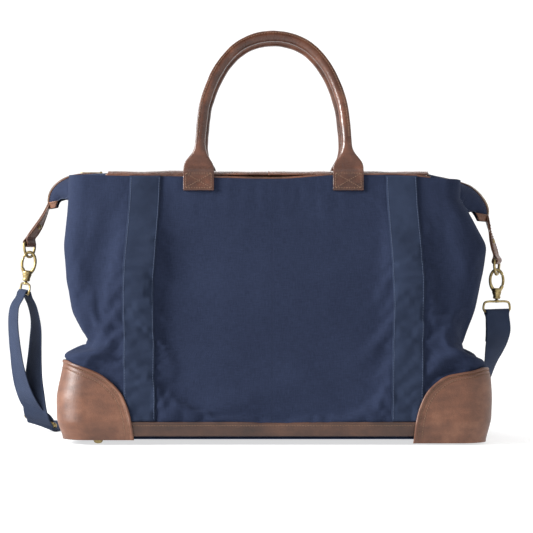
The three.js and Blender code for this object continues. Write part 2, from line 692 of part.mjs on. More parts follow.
for (const [end, sign] of [["left", -1], ["right", 1]]) {
  add(end + "_ring_tab", joined(ringTab(end), tabLoop(end)), leather);

  const chain = new THREE.Group();
  chain.position.copy(RING_BAR[end]);
  bag.add(chain);
  const ring = add(end + "_d_ring", wireRing(outlineOf(ringPoints), RING_WIRE, 20, 6), brass, chain);
  ring.rotation.z = Math.PI / 2 + THREE.MathUtils.degToRad(RING_TWIST[end]);

  const lean = new THREE.Group(); // hook and bail lean about the bottom of the D-ring
  lean.position.z = -RING_DROP;
  lean.rotation.y = THREE.MathUtils.degToRad(CHAIN_LEAN[end]);
  chain.add(lean);
  const hanging = new THREE.Group();
  hanging.position.z = RING_DROP;
  lean.add(hanging);
  const hook = new THREE.Group();
  hook.rotation.z = sign < 0 ? Math.PI : 0;
  hanging.add(hook);
  add(end + "_hook", joined(cutFrom(hookOval(), gateBox(0, 0)), barrel()), brass, hook);
  add(end + "_hook_gate", common(hookOval(), gateBox(GATE_GAP, GATE_PIVOT_GAP)), brass, hook);

  const bail = add(end + "_hook_bail", bailShape(), brass, hanging);
  bail.rotation.z = THREE.MathUtils.degToRad(BAIL_TWIST[end]);
}

// Rivets through the tabs, halfway between the zip end and the D-ring.
function rivet() {
  return lathe([[0, -0.2], [3.4, -0.2], [3.4, 0.5], [2.4, 1.4], [0, 1.7]].reverse(), 12);
}

for (const [end, sign] of [["left", -1], ["right", 1]]) {
  const place = TAB_ROOT[end].clone().lerp(RING_BAR[end], 0.52);
  const along = RING_BAR[end].clone().sub(TAB_ROOT[end]).normalize();
  const twist = THREE.MathUtils.degToRad(RING_TWIST[end]) * 0.55;
  const across = new THREE.Vector3(-Math.sin(twist), Math.cos(twist), 0);
  const out = along.clone().cross(across).normalize();
  if (out.y > 0 || (Math.abs(out.y) < 0.05 && out.x * sign < 0)) out.negate();
  const made = add(end + "_tab_rivet", rivet(), brass);
  made.quaternion.setFromUnitVectors(new THREE.Vector3(0, 0, 1), out);
  made.position.copy(place).addScaledVector(out, 3.4);
}

// ---- Shoulder strap ------------------------------------------------------------------------
// Route of the webbing's middle line: [x, y, z] and the direction across its width [x, y, z].
const RIGHT_END_ROUTE = [
  [295.2, 0.8, 162.6, -0.85, -0.53, 0], [296.3, 3, 153, -0.85, -0.53, 0],
  [297.5, 9, 140, -0.86, -0.5, -0.05], [297, 20, 125, -0.82, -0.5, -0.2],
];
const MAIN_ROUTE = [
  [296.9, 20.8, 124, -0.82, -0.5, -0.2], [295, 42, 104, -0.7, -0.5, -0.47],
  [293, 72, 82, -0.5, -0.55, -0.65],
  [290, 104, 59, -0.4, -0.62, -0.67], [280, 138, 36, -0.4, -0.75, -0.5], [256, 166, 18, -0.4, -0.88, -0.2],
  [216, 184, 6, -0.25, -0.95, 0], [165, 194, 2, -0.1, -1, 0], [90, 200, 1.6, 0, -1, 0],
  [0, 202, 1.6, 0, -1, 0],
  [-90, 199, 1.6, 0, -1, 0], [-165, 192, 2, 0.1, -1, 0], [-222, 180, 4, 0.3, -0.95, 0],
  [-268, 158, 7, 0.55, -0.83, -0.1], [-298, 133, 8.4, 0.78, -0.6, -0.25],
  [-312, 115, 7.2, 0.9, -0.3, -0.33],
  [-317.9, 103, 9.2, 0.93, -0.02, -0.33],
];
const ADJUSTER = [-317.5, 96, 16.5];
const INNER_ROUTE = [
  [-318.2, 96, 13.6, 0.93, 0.05, -0.33], [-319.2, 86.5, 17.6, 0.93, 0.03, -0.33],
  [-321, 76, 26, 0.9, -0.15, -0.33],
  [-322, 60, 49, 0.8, -0.42, -0.3], [-320, 42, 85, 0.62, -0.7, -0.25], [-316.5, 27, 122, 0.5, -0.82, -0.2],
  [-315, 15, 152, 0.42, -0.88, -0.1], [-319, 6, 176, 0.38, -0.92, 0], [-324, 2, 188, 0.375, -0.927, -0.03],
];
const BAIL_TURN = [
  [-325.3, 1.1, 194.4, 0.375, -0.927, -0.05], [-328.2, 0, 196.2, 0.375, -0.927, -0.05],
  [-331.2, -1, 194.4, 0.375, -0.927, -0.05],
];
const OUTER_ROUTE = [
  [-333.4, -2, 188, 0.375, -0.927, -0.03], [-339.5, -1, 176, 0.38, -0.92, 0],
  [-343, 4, 160, 0.42, -0.88, -0.15],
  [-343.5, 15, 134, 0.47, -0.82, -0.25], [-341.5, 30, 102, 0.55, -0.76, -0.3],
  [-336.5, 50, 66, 0.7, -0.6, -0.32],
  [-327.5, 70, 39, 0.85, -0.35, -0.33], [-319.5, 83, 27.5, 0.92, -0.05, -0.33],
  [-317.2, 90, 23, 0.93, 0.03, -0.33],
  [-316.9, 96, 19.8, 0.93, 0.05, -0.33],
];

// A band of webbing along a route.
function band(route, steps, width = WEBBING_WIDTH, thickness = WEBBING) {
  const places = route.map(([x, y, z]) => new THREE.Vector3(x, y, z));
  const directions = route.map(([, , , x, y, z]) => new THREE.Vector3(x, y, z));
  const line = new THREE.CatmullRomCurve3(places, false, "centripetal");
  const widths = new THREE.CatmullRomCurve3(directions);
  return sheet(1, steps, (u, v, w) => {
    const along = line.getTangent(v);
    const across = widths.getPoint(v);
    across.addScaledVector(along, -across.dot(along)).normalize();
    const out = along.clone().cross(across);
    const p = line.getPoint(v).addScaledVector(across, (u - 0.5) * width);
    return p.addScaledVector(out, (w - 0.5) * thickness);
  });
}

add("strap_right_end", band(RIGHT_END_ROUTE, 8, WEBBING_WIDTH, 2 * WEBBING + 0.4), webbing);
add("strap_main", band(MAIN_ROUTE, 48), webbing);
add("strap_left_loop", band([...INNER_ROUTE, ...BAIL_TURN, ...OUTER_ROUTE], 48), webbing);

// Strap adjuster: a flat oval frame with a middle bar.
function adjuster() {
  const [halfWide, halfDeep, wire] = [21.6, 9, 1.3];
  const corners = [
    [0, -halfDeep], [halfWide - 3, -halfDeep], [halfWide, 3 - halfDeep], [halfWide, halfDeep - 3],
    [halfWide - 3, halfDeep], [0, halfDeep], [3 - halfWide, halfDeep], [-halfWide, halfDeep - 3],
    [-halfWide, 3 - halfDeep], [3 - halfWide, -halfDeep],
  ].map(([x, y]) => new THREE.Vector3(x, y, 0));
  const bar = new THREE.CylinderGeometry(wire, wire, 2 * halfWide, 8).rotateZ(Math.PI / 2);
  return joined(wireRing(outlineOf(corners), wire, 28, 6), closed(bar));
}

const frame = add("strap_slider", adjuster(), brass);
frame.position.set(...ADJUSTER);
const frameAcross = new THREE.Vector3(0.93, 0.05, -0.33).normalize();
const frameAlong = new THREE.Vector3(-0.1, -0.9, 0.42);
frameAlong.addScaledVector(frameAcross, -frameAlong.dot(frameAcross)).normalize();
const frameUp = frameAcross.clone().cross(frameAlong).negate();
frame.quaternion.setFromRotationMatrix(new THREE.Matrix4().makeBasis(frameAcross, frameUp, frameAlong));

export default bag;
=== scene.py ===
"""Looks of the weekender bag: fabric, leather, stitching, hardware and the webbing strap, built round
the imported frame. Metres, +Z up, -Y the front. Run by Blender 4.5."""
import json
import math
import bmesh
import bpy
import numpy as np
from mathutils import Matrix, Vector, noise
from mathutils.bvhtree import BVHTree


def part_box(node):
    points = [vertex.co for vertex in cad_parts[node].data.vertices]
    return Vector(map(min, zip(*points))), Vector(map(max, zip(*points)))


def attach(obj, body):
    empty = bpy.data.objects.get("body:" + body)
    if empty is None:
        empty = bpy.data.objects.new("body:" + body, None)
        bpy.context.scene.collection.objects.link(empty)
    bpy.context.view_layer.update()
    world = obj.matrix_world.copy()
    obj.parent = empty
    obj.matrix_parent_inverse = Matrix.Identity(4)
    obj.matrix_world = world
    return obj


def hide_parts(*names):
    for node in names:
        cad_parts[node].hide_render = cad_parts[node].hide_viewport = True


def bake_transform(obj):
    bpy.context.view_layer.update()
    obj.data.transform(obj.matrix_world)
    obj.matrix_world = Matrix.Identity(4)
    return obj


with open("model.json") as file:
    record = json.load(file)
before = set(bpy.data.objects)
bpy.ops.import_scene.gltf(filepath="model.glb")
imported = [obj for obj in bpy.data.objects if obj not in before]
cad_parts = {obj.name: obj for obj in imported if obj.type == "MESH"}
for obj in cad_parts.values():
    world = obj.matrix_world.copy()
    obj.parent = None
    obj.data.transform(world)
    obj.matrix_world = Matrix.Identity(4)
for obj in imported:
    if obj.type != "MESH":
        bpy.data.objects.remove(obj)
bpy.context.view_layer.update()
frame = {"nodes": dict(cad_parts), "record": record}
MM = 0.001
SIDES = {"front": -1, "back": 1}
ENDS = {"left": -1, "right": 1}


# ---- Camera, light and floor -----------------------------------------------------------------
CAMERA_DISTANCE = 2.7
CAMERA_HEIGHT = 0.227
CAMERA_X = -0.009
LENS = 138.3


def make_camera():
    data = bpy.data.cameras.new("camera")
    data.lens = LENS
    data.sensor_width = 36
    data.clip_end = 30
    camera = bpy.data.objects.new("camera", data)
    camera.location = (CAMERA_X, -CAMERA_DISTANCE, CAMERA_HEIGHT)
    camera.rotation_euler = (math.pi / 2, 0, 0)
    bpy.context.collection.objects.link(camera)
    bpy.context.scene.camera = camera


def make_light(name, place, aim, size, power):
    data = bpy.data.lights.new(name, "AREA")
    data.shape = "RECTANGLE"
    data.size, data.size_y = size
    data.energy = power
    light = bpy.data.objects.new(name, data)
    light.location = place
    light.rotation_euler = (Vector(aim) - Vector(place)).to_track_quat("-Z", "Y").to_euler()
    bpy.context.collection.objects.link(light)


def make_studio():
    world = bpy.data.worlds.new("studio")
    bpy.context.scene.world = world
    world.use_nodes = True
    world.node_tree.nodes["Background"].inputs["Color"].default_value = (1, 1, 1, 1)
    world.node_tree.nodes["Background"].inputs["Strength"].default_value = 0.15
    middle = (0, 0, 0.22)
    make_light("key", (-2.5, -0.95, 1.25), middle, (0.9, 1.1), 175)
    make_light("fill", (1.9, -1.8, 0.8), middle, (1.4, 1.2), 1.5)
    make_light("top", (0.1, 0.2, 2.4), middle, (1.8, 1.2), 16)
    make_light("back", (0.6, 2.2, 1.4), middle, (1.8, 1.4), 14)
    bpy.context.scene.view_settings.view_transform = "Standard"


def make_floor():
    """A round floor of white paper that curves up into a wall on every side."""
    run, bend, wall, steps, sectors = 4.6, 1.2, 4.5, 10, 64
    section = [(0.5, 0.0), (run, 0.0)]
    for i in range(1, steps + 1):
        angle = i / steps * math.pi / 2
        section.append((run + bend * math.sin(angle), bend * (1 - math.cos(angle))))
    section.append((run + bend, wall))
    verts, faces = [(0, 0, 0)], []
    for reach, height in section:
        for sector in range(sectors):
            angle = sector / sectors * 2 * math.pi
            verts.append((reach * math.cos(angle), reach * math.sin(angle), height))
    for sector in range(sectors):
        beside = (sector + 1) % sectors
        faces.append((0, 1 + sector, 1 + beside))
        for ring in range(len(section) - 1):
            low, high = 1 + ring * sectors, 1 + (ring + 1) * sectors
            faces.append((low + sector, high + sector, high + beside, low + beside))
    mesh = bpy.data.meshes.new("floor")
    mesh.from_pydata(verts, [], faces)
    floor = bpy.data.objects.new("floor", mesh)
    bpy.context.collection.objects.link(floor)
    for face in mesh.polygons:
        face.use_smooth = True
    mesh.materials.append(paper())


# ---- Materials -------------------------------------------------------------------------------
class Nodes:
    """Short calls for the nodes of one material; each returns the socket that the next node reads."""

    def __init__(self, name):
        self.material = bpy.data.materials.new(name)
        self.material.use_nodes = True
        self.tree = self.material.node_tree
        self.shader = self.tree.nodes["Principled BSDF"]
        self.object_space = self.add("ShaderNodeTexCoord", "Object")
        self.uv = self.add("ShaderNodeTexCoord", "UV")

    def fill(self, socket, value):
        """Set a socket to a number, a vector or a colour, or link it to another node's output."""
        if isinstance(value, (int, float)):
            socket.default_value = value
        elif isinstance(value, tuple):
            socket.default_value = (*value, 1)[:len(socket.default_value)]
        else:
            self.tree.links.new(value, socket)

    def add(self, kind, output, inputs=None, **settings):
        node = self.tree.nodes.new(kind)
        for key, value in settings.items():
            setattr(node, key, value)
        for name, value in (inputs or {}).items():
            self.fill(node.inputs[name], value)
        return node.outputs[output]

    def scaled(self, source, scale):
        return self.add("ShaderNodeMapping", "Vector", {"Scale": scale, "Vector": source})

    def noise(self, vector, scale, detail=4.0, roughness=0.55):
        inputs = {"Scale": scale, "Detail": detail, "Roughness": roughness, "Vector": vector}
        return self.add("ShaderNodeTexNoise", "Fac", inputs)

    def cells(self, vector, scale, feature="F1"):
        inputs = {"Scale": scale, "Vector": vector}
        return self.add("ShaderNodeTexVoronoi", "Distance", inputs, feature=feature)

    def waves(self, vector, scale, direction, distortion):
        inputs = {"Scale": scale, "Distortion": distortion, "Vector": vector}
        return self.add("ShaderNodeTexWave", "Fac", inputs, bands_direction=direction)

    def math(self, operation, a, b):
        return self.add("ShaderNodeMath", 0, {0: a, 1: b}, operation=operation)

    def sum(self, a, share_a, b, share_b):
        return self.math("ADD", self.math("MULTIPLY", a, share_a), self.math("MULTIPLY", b, share_b))

    def ramp(self, factor, stops):
        node = self.tree.nodes.new("ShaderNodeValToRGB")
        while len(node.color_ramp.elements) < len(stops):
            node.color_ramp.elements.new(0.5)
        for element, (place, colour) in zip(node.color_ramp.elements, stops):
            element.position = place
            element.color = (*colour, 1)
        self.fill(node.inputs["Fac"], factor)
        return node.outputs["Color"]

    def mix(self, factor, a, b):
        return self.add("ShaderNodeMix", "Result", {"Factor": factor, "A": a, "B": b}, data_type="RGBA")

    def range(self, value, low, high):
        return self.add("ShaderNodeMapRange", "Result", {"To Min": low, "To Max": high, "Value": value})

    def bump(self, height, distance, strength, under=None):
        inputs = {"Distance": distance, "Strength": strength, "Height": height}
        if under is not None:
            inputs["Normal"] = under
        return self.add("ShaderNodeBump", "Normal", inputs)

    def set(self, **sockets):
        for name, value in sockets.items():
            self.fill(self.shader.inputs[name.replace("_", " ")], value)
        return self.material


NAVY_SHEEN = (0.5, 0.6, 0.95)
RIB_PITCH, YARN_PITCH = 1.7, 1.1  # of the webbing, in mm


def darker(colour, share):
    return tuple(share * part for part in colour)


def paper():
    """White backdrop paper with a glow of its own, so that it stays white behind the bag."""
    return Nodes("floor_paper").set(
        Base_Color=(0.45, 0.45, 0.45), Roughness=0.9, Emission_Color=(1, 1, 1), Emission_Strength=0.66,
    )


def canvas_material(name, dark, light, pitch):
    """Cotton with threads crossing at a pitch in mm, slubs, faded patches and a soft sheen."""
    n = Nodes(name)
    threads = n.scaled(n.uv, (1000 / pitch,) * 3)
    weave = n.sum(n.waves(threads, 0.5, "X", 0.6), 0.5, n.waves(threads, 0.5, "Y", 0.6), 0.5)
    along, across = (n.noise(n.scaled(n.uv, scale), 1.0, 3) for scale in ((90, 900, 1), (900, 90, 1)))
    slubs = n.sum(along, 0.5, across, 0.5)
    wear = n.noise(n.object_space, 9.0, 5, 0.6)
    colour = n.ramp(n.sum(slubs, 0.75, wear, 0.35), [(0.35, dark), (0.72, light)])
    shaded = n.mix(n.range(weave, 0.0, 0.22), colour, darker(dark, 0.45))
    normal = n.bump(slubs, 0.0006, 0.6, n.bump(weave, 0.00022, 0.8))
    return n.set(
        Base_Color=shaded, Roughness=n.range(slubs, 0.82, 0.98), Normal=normal,
        Sheen_Weight=0.07, Sheen_Roughness=0.4, Sheen_Tint=NAVY_SHEEN, Specular_IOR_Level=0.12,
    )


def webbing_material(name, dark, light):
    """Ribbed tape: cross ribs with a herringbone of fine yarns."""
    n = Nodes(name)
    ribs = n.waves(n.scaled(n.uv, (1, 1000 / RIB_PITCH, 1)), 0.5, "Y", 0.4)
    yarns = n.waves(n.scaled(n.uv, (1000 / YARN_PITCH, 250, 1)), 0.5, "X", 0.5)
    height = n.sum(ribs, 0.7, yarns, 0.3)
    colour = n.ramp(n.noise(n.object_space, 14.0, 5, 0.6), [(0.3, dark), (0.75, light)])
    shaded = n.mix(n.range(height, 0.45, 0.0), colour, darker(dark, 0.4))
    return n.set(
        Base_Color=shaded, Roughness=0.9, Normal=n.bump(height, 0.0004, 0.9),
        Sheen_Weight=0.07, Sheen_Roughness=0.5, Sheen_Tint=NAVY_SHEEN, Specular_IOR_Level=0.14,
    )


def leather_material(name, dark, middle, light, gloss):
    """Pull-up leather: cloudy tone, pebbled grain and fine creases."""
    n = Nodes(name)
    cloud = n.noise(n.object_space, 22.0, 6, 0.62)
    streak = n.noise(n.scaled(n.object_space, (30, 30, 110)), 1.0, 4)
    colour = n.ramp(n.sum(cloud, 0.75, streak, 0.25), [(0.32, dark), (0.5, middle), (0.7, light)])
    pebbles = n.cells(n.object_space, 620.0)
    wrinkle = n.cells(n.scaled(n.object_space, (1, 1, 1.6)), 150.0, "DISTANCE_TO_EDGE")
    crease_line = n.ramp(n.range(wrinkle, 0.0, 1.0), [(0.0, (0, 0, 0)), (0.06, (1, 1, 1))])
    # Painted shade: the hollow centre of each pebble of the grain is darkened towards the dark tone.
    pit_shaded = n.mix(n.range(pebbles, 0.25, 0.0), colour, dark)
    normal = n.bump(pebbles, 0.00025, 0.55, n.bump(crease_line, 0.00012, 0.35))
    rough = n.range(n.noise(n.object_space, 60.0, 5), gloss - 0.1, gloss + 0.14)
    return n.set(Base_Color=pit_shaded, Roughness=rough, Normal=normal, Coat_Weight=0.08, Coat_Roughness=0.35)


def brass_material(name, bright, patina, roughness):
    """Tarnished brass with fine scratches."""
    n = Nodes(name)
    tarnish = n.noise(n.object_space, 160.0, 5, 0.65)
    colour = n.ramp(tarnish, [(0.35, patina), (0.62, bright)])
    rough = n.range(tarnish, roughness + 0.22, roughness)
    scratches = n.noise(n.scaled(n.object_space, (300, 300, 2400)), 1.0, 3)
    return n.set(Base_Color=colour, Metallic=1.0, Roughness=rough, Normal=n.bump(scratches, 0.00005, 0.5))


def thread_material(name, colour):
    """Twisted sewing thread."""
    n = Nodes(name)
    twist = n.waves(n.object_space, 900.0, "DIAGONAL", 0.5)
    shaded = n.mix(n.range(twist, 0.0, 0.4), colour, darker(colour, 0.5))
    return n.set(Base_Color=shaded, Roughness=0.7, Normal=n.bump(twist, 0.0001, 0.5))


CANVAS = canvas_material("navy_canvas", (0.009, 0.0133, 0.031), (0.0225, 0.0315, 0.065), 1.3)
WEBBING = webbing_material("navy_webbing", (0.0125, 0.0195, 0.041), (0.031, 0.045, 0.086))
LEATHER = leather_material(
    "brown_leather", (0.055, 0.018, 0.008), (0.125, 0.047, 0.023), (0.225, 0.098, 0.052), 0.46)
# Painted shade: a darker copy of the brown leather for the base bands, which face down under the bag.
BASE_LEATHER_SHADED = leather_material(
    "base_leather_painted_shade", (0.022, 0.008, 0.004), (0.055, 0.021, 0.011), (0.11, 0.046, 0.024), 0.5)
HANDLE = leather_material(
    "handle_leather", (0.022, 0.0065, 0.0035), (0.07, 0.023, 0.011), (0.165, 0.062, 0.033), 0.26)
BRASS = brass_material("antique_brass", (0.46, 0.36, 0.17), (0.16, 0.115, 0.05), 0.3)
TEETH = brass_material("zip_brass", (0.36, 0.28, 0.14), (0.12, 0.09, 0.045), 0.38)
LINING = canvas_material("lining_twill", (0.2, 0.17, 0.13), (0.34, 0.3, 0.23), 0.8)
TAPE = webbing_material("zip_tape", (0.012, 0.012, 0.02), (0.03, 0.03, 0.045))
NAVY_THREAD = thread_material("navy_thread", (0.05, 0.072, 0.13))
BROWN_THREAD = thread_material("brown_thread", (0.19, 0.105, 0.062))


# ---- Small helpers ---------------------------------------------------------------------------
def clamp(value, low=0.0, high=1.0):
    return max(low, min(high, value))


def lerp(a, b, t):
    return a + (b - a) * t


def spaced(low, high, count):
    return [float(value) for value in np.linspace(low, high, count)]


def smoothstep(value, low, high):
    t = clamp((value - low) / (high - low))
    return t * t * (3 - 2 * t)


def read(table, at):
    """Smooth reading of a table of [height, value] rows."""
    if at <= table[0][0]:
        return table[0][1]
    for (low, a), (high, b) in zip(table, table[1:]):
        if at <= high:
            return a + (b - a) * smoothstep(at, low, high)
    return table[-1][1]


def wander(x, y, z, scale, seed=0.0):
    """Smooth noise from about -1 to 1; scale is its grain in metres."""
    return noise.noise(Vector((x / scale + seed, y / scale - seed, z / scale + 2 * seed)))


def distances(points):
    """The distance walked along a line at each of its points."""
    steps = np.linalg.norm(np.diff(np.array(points)[:, :3], axis=0), axis=1)
    return np.concatenate([[0], np.cumsum(steps)])


def spline(points, steps):
    """Points along a centripetal Catmull-Rom curve through the given points, evenly spaced."""
    def mix(low, high, t, t_low, t_high):
        return (t_high - t) / (t_high - t_low) * low + (t - t_low) / (t_high - t_low) * high

    pts = [np.array(p, float) for p in points]
    pts = [2 * pts[0] - pts[1]] + pts + [2 * pts[-1] - pts[-2]]
    fine = []
    for p0, p1, p2, p3 in zip(pts, pts[1:], pts[2:], pts[3:]):
        gaps = [math.sqrt(max(np.linalg.norm((b - a)[:3]), 1e-9)) for a, b in ((p0, p1), (p1, p2), (p2, p3))]
        t0, t1, t2, t3 = np.cumsum([0.0, *gaps])
        for t in np.linspace(t1, t2, 12, endpoint=False):
            a1, a2, a3 = mix(p0, p1, t, t0, t1), mix(p1, p2, t, t1, t2), mix(p2, p3, t, t2, t3)
            b1, b2 = mix(a1, a2, t, t0, t2), mix(a2, a3, t, t1, t3)
            fine.append(mix(b1, b2, t, t1, t2))
    fine = np.array(fine + [pts[-2]])
    walk = distances(fine)
    even = np.linspace(0, walk[-1], steps + 1)
    return np.stack([np.interp(even, walk, column) for column in fine.T], axis=1)


def new_piece(name, verts, faces, material, smooth=True, uvs=None):
    """A mesh object from points and faces; uvs holds one pair per point."""
    mesh = bpy.data.meshes.new(name)
    mesh.from_pydata([tuple(map(float, v)) for v in verts], [], [tuple(map(int, f)) for f in faces])
    mesh.materials.append(material)
    mesh.polygons.foreach_set("use_smooth", [smooth] * len(mesh.polygons))
    if uvs is not None:
        layer = mesh.uv_layers.new(name="UVMap")
        corners = np.empty(len(mesh.loops), np.int32)
        mesh.loops.foreach_get("vertex_index", corners)
        layer.data.foreach_set("uv", np.array(uvs, float)[corners].astype(np.float32).ravel())
    mesh.validate()
    piece = bpy.data.objects.new(name, mesh)
    bpy.context.collection.objects.link(piece)
    return piece


def faces_out(piece):
    """The piece with every face pointing out of it."""
    bm = bmesh.new()
    bm.from_mesh(piece.data)
    bmesh.ops.recalc_face_normals(bm, faces=bm.faces)
    bm.to_mesh(piece.data)
    bm.free()
    return piece


def settle(piece, slot, body, *nodes):
    """Hide the CAD nodes that a piece stands for and attach it to the body it rides on. The slot is not used.
    """
    if nodes:
        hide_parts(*nodes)
    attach(piece, body)
    return piece


def settle_blend(piece, slot, bodies, start, end, *nodes):
    """Hide the CAD nodes that a piece stands for and bake its placing into its mesh. The slot, bodies, start
    and end are not used.
    """
    if nodes:
        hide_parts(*nodes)
    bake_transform(piece)
    return piece


class Parts:
    """Collects points and faces of small closed shapes, to be made into one piece."""

    def __init__(self, *shapes):
        self.verts, self.faces = [], []
        for shape in shapes:
            self.add(*shape)

    def add(self, verts, faces):
        first = len(self.verts)
        self.verts.extend(verts)
        self.faces.extend([tuple(first + i for i in face) for face in faces])

    def piece(self, name, material, smooth=True):
        return new_piece(name, self.verts, self.faces, material, smooth, [(0, 0)] * len(self.verts))


def metal(name, body, node, *shapes):
    """A brass piece made of closed shapes, standing for a CAD node."""
    return settle(faces_out(Parts(*shapes).piece(name, BRASS)), "brass", body, node)


def solid_sheet(rows, columns, place, closed=False):
    """Points, faces and uv pairs of a sheet with thickness. place(u, v, w) gives a point and its uv pair
    in metres, w 0 on the inner face and 1 outside; a closed sheet runs round in u."""
    verts, uvs, faces = [], [], []
    across = columns if closed else columns + 1
    for w in (1, 0):
        for j in range(rows + 1):
            for i in range(across):
                point, uv = place(i / columns, j / rows, w)
                verts.append(point)
                uvs.append(uv)
    layer = across * (rows + 1)

    def at(i, j, w):
        return (0 if w else layer) + j * across + i % across

    for j in range(rows):
        for i in range(columns):
            faces.append((at(i, j, 1), at(i + 1, j, 1), at(i + 1, j + 1, 1), at(i, j + 1, 1)))
            faces.append((at(i, j + 1, 0), at(i + 1, j + 1, 0), at(i + 1, j, 0), at(i, j, 0)))
    for i in range(columns):
        faces.append((at(i, 0, 0), at(i + 1, 0, 0), at(i + 1, 0, 1), at(i, 0, 1)))
        faces.append((at(i, rows, 1), at(i + 1, rows, 1), at(i + 1, rows, 0), at(i, rows, 0)))
    for j in range(0 if closed else rows):
        faces.append((at(0, j, 1), at(0, j + 1, 1), at(0, j + 1, 0), at(0, j, 0)))
        faces.append((at(columns, j, 0), at(columns, j + 1, 0), at(columns, j + 1, 1), at(columns, j, 1)))
    return verts, faces, uvs


def sheet_piece(name, material, rows, columns, place, closed=False):
    """A piece made of one sheet with thickness."""
    verts, faces, uvs = solid_sheet(rows, columns, place, closed)
    return faces_out(new_piece(name, verts, faces, material, True, uvs))


def loft_faces(rings, sides, capped=True):
    """Faces over rings of points, closed by a flat face at both ends."""
    faces = []
    for j in range(rings - 1):
        for k in range(sides):
            a, b = j * sides + k, j * sides + (k + 1) % sides
            faces.append((a, b, b + sides, a + sides))
    if capped:
        last = (rings - 1) * sides
        faces.append(tuple(reversed(range(sides))))
        faces.append(tuple(range(last, last + sides)))
    return faces


def circle(centre, radius, first, second, sides):
    """Points round a circle that starts in the first direction and turns towards the second."""
    angles = [2 * math.pi * k / sides for k in range(sides)]
    return [centre + radius * (math.cos(a) * first + math.sin(a) * second) for a in angles]


TIP = 0.5  # how far the round end of a wire stands out, in radii


def tube(path, radius, sides=12, closed=False):
    """Points and faces of a wire along a path; radius is a number or one number per point."""
    pts = [Vector(p[:3]) for p in path]
    count = len(pts)
    radii = radius if hasattr(radius, "__len__") else [radius] * count
    tangents, firsts, verts = [], [], []
    for i in range(count):
        if closed:
            step = pts[(i + 1) % count] - pts[i - 1]
        else:
            step = pts[min(i + 1, count - 1)] - pts[max(i - 1, 0)]
        tangents.append(step.normalized())
    side = tangents[0].orthogonal().normalized()
    for tangent in tangents:
        side = (side - tangent * side.dot(tangent)).normalized()
        firsts.append(side.copy())
    twist = 0.0
    if closed:
        final = (firsts[-1] - tangents[0] * firsts[-1].dot(tangents[0])).normalized()
        twist = math.atan2(tangents[0].dot(final.cross(firsts[0])), final.dot(firsts[0]))
    for i, (point, tangent) in enumerate(zip(pts, tangents)):
        first = Matrix.Rotation(twist * i / count, 3, tangent) @ firsts[i]
        verts += circle(point, radii[i], first, tangent.cross(first), sides)
    faces = loft_faces(count, sides, capped=False)
    last = (count - 1) * sides
    if closed:
        faces += [(last + k, last + (k + 1) % sides, (k + 1) % sides, k) for k in range(sides)]
        return verts, faces
    for index, ring, out in ((0, 0, -1), (-1, last, 1)):
        verts.append(pts[index] + out * tangents[index] * radii[index] * TIP)
        tip = len(verts) - 1
        for k in range(sides):
            a, b = ring + k, ring + (k + 1) % sides
            faces.append((b, a, tip) if out < 0 else (a, b, tip))
    return verts, faces


def lathe(profile, centre, axis, sides):
    """Closed shape of revolution: profile rows are (distance along the axis, radius)."""
    axis = Vector(axis).normalized()
    first = axis.orthogonal().normalized()
    second = axis.cross(first)
    verts = []
    for along, radius in profile:
        verts += circle(Vector(centre) + axis * along, radius, first, second, sides)
    return verts, loft_faces(len(profile), sides)


def in_metres(rows):
    return [tuple(value * MM for value in row) for row in rows]


# ---- Stitching -------------------------------------------------------------------------------
STITCH_STOPS = 0.68 * np.array([-0.5, -0.2, 0.2, 0.5])  # in pitches: a thread fills 0.68 of its pitch
STITCH_LIFTS = (-0.35, 0.45, 0.45, -0.35)  # in thread radii: its ends dip into the cloth


def stitches(seam, line, pitch=3.4 * MM, thick=0.42 * MM):
    """Short sunken threads along a line of pairs: a point, and the direction out of the cloth there."""
    pts, ups = (np.array([tuple(pair[k]) for pair in line], float) for k in (0, 1))
    walk = distances(pts)
    count = max(1, int(walk[-1] / pitch))
    step = walk[-1] / count
    for i in range(count):
        at = (i + 0.5) * step
        spots = np.stack([np.interp(at + step * STITCH_STOPS, walk, pts[:, k]) for k in range(3)], axis=1)
        up = np.array([np.interp(at, walk, ups[:, k]) for k in range(3)])
        up /= np.linalg.norm(up) or 1
        path = [Vector(spot) + Vector(up) * thick * lift for spot, lift in zip(spots, STITCH_LIFTS)]
        seam.add(*tube(path, [0.7 * thick, thick, thick, 0.7 * thick], 5))


# ---- The bag's surface, rebuilt from the CAD walls --------------------------------------------
FLOOR_EDGE = 8 * MM
BAND_TOP = 30 * MM
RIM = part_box("front_panel")[1].z
BASE_HALF_DEPTH, TOP_HALF_DEPTH = 106 * MM, 62 * MM
BASE_CORNER, TOP_CORNER = 34 * MM, 25 * MM
TUCK_UNDER = 10 * MM
WALL_FOOT = FLOOR_EDGE + 3 * MM  # where the canvas walls meet the base
CROWN = 5 * MM
END_SINK = 12 * MM
CANVAS_THICK = 2 * MM
HANDLE_X = sum(corner.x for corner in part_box("front_right_handle_patch")) / 2
PATCH_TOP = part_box("front_left_corner")[1].z


def rise(z):
    """0 at the leather band and 1 at the rim."""
    return clamp((z - BAND_TOP) / (RIM - BAND_TOP))


def measured_ends():
    """The x of each end wall on the middle line, height by height, from the CAD gussets."""
    found = {}
    for name, end in ENDS.items():
        mesh = frame["nodes"][name + "_gusset"].data
        tree = BVHTree.FromPolygons([v.co for v in mesh.vertices], [list(p.vertices) for p in mesh.polygons])
        heights = spaced(WALL_FOOT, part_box(name + "_gusset")[1].z - 1 * MM, 90)
        reach = [abs(tree.ray_cast(Vector((end, 0.0004, z)), Vector((-end, 0, 0)))[0].x) for z in heights]
        reach = np.array(reach) + END_SINK * np.array([rise(z) for z in heights])
        kernel = np.array([1, 2, 3, 2, 1]) / 9
        padded = np.concatenate([[reach[0]] * 2, reach, [reach[-1]] * 2])
        found[end] = (heights, np.convolve(padded, kernel, "valid"))
    return found


END_PROFILES = measured_ends()
QUARTERS = [(1, -1), (1, 1), (-1, 1), (-1, -1)]  # (end, side), once round the bag


def corner_radius(z):
    return lerp(BASE_CORNER, TOP_CORNER, rise(z))


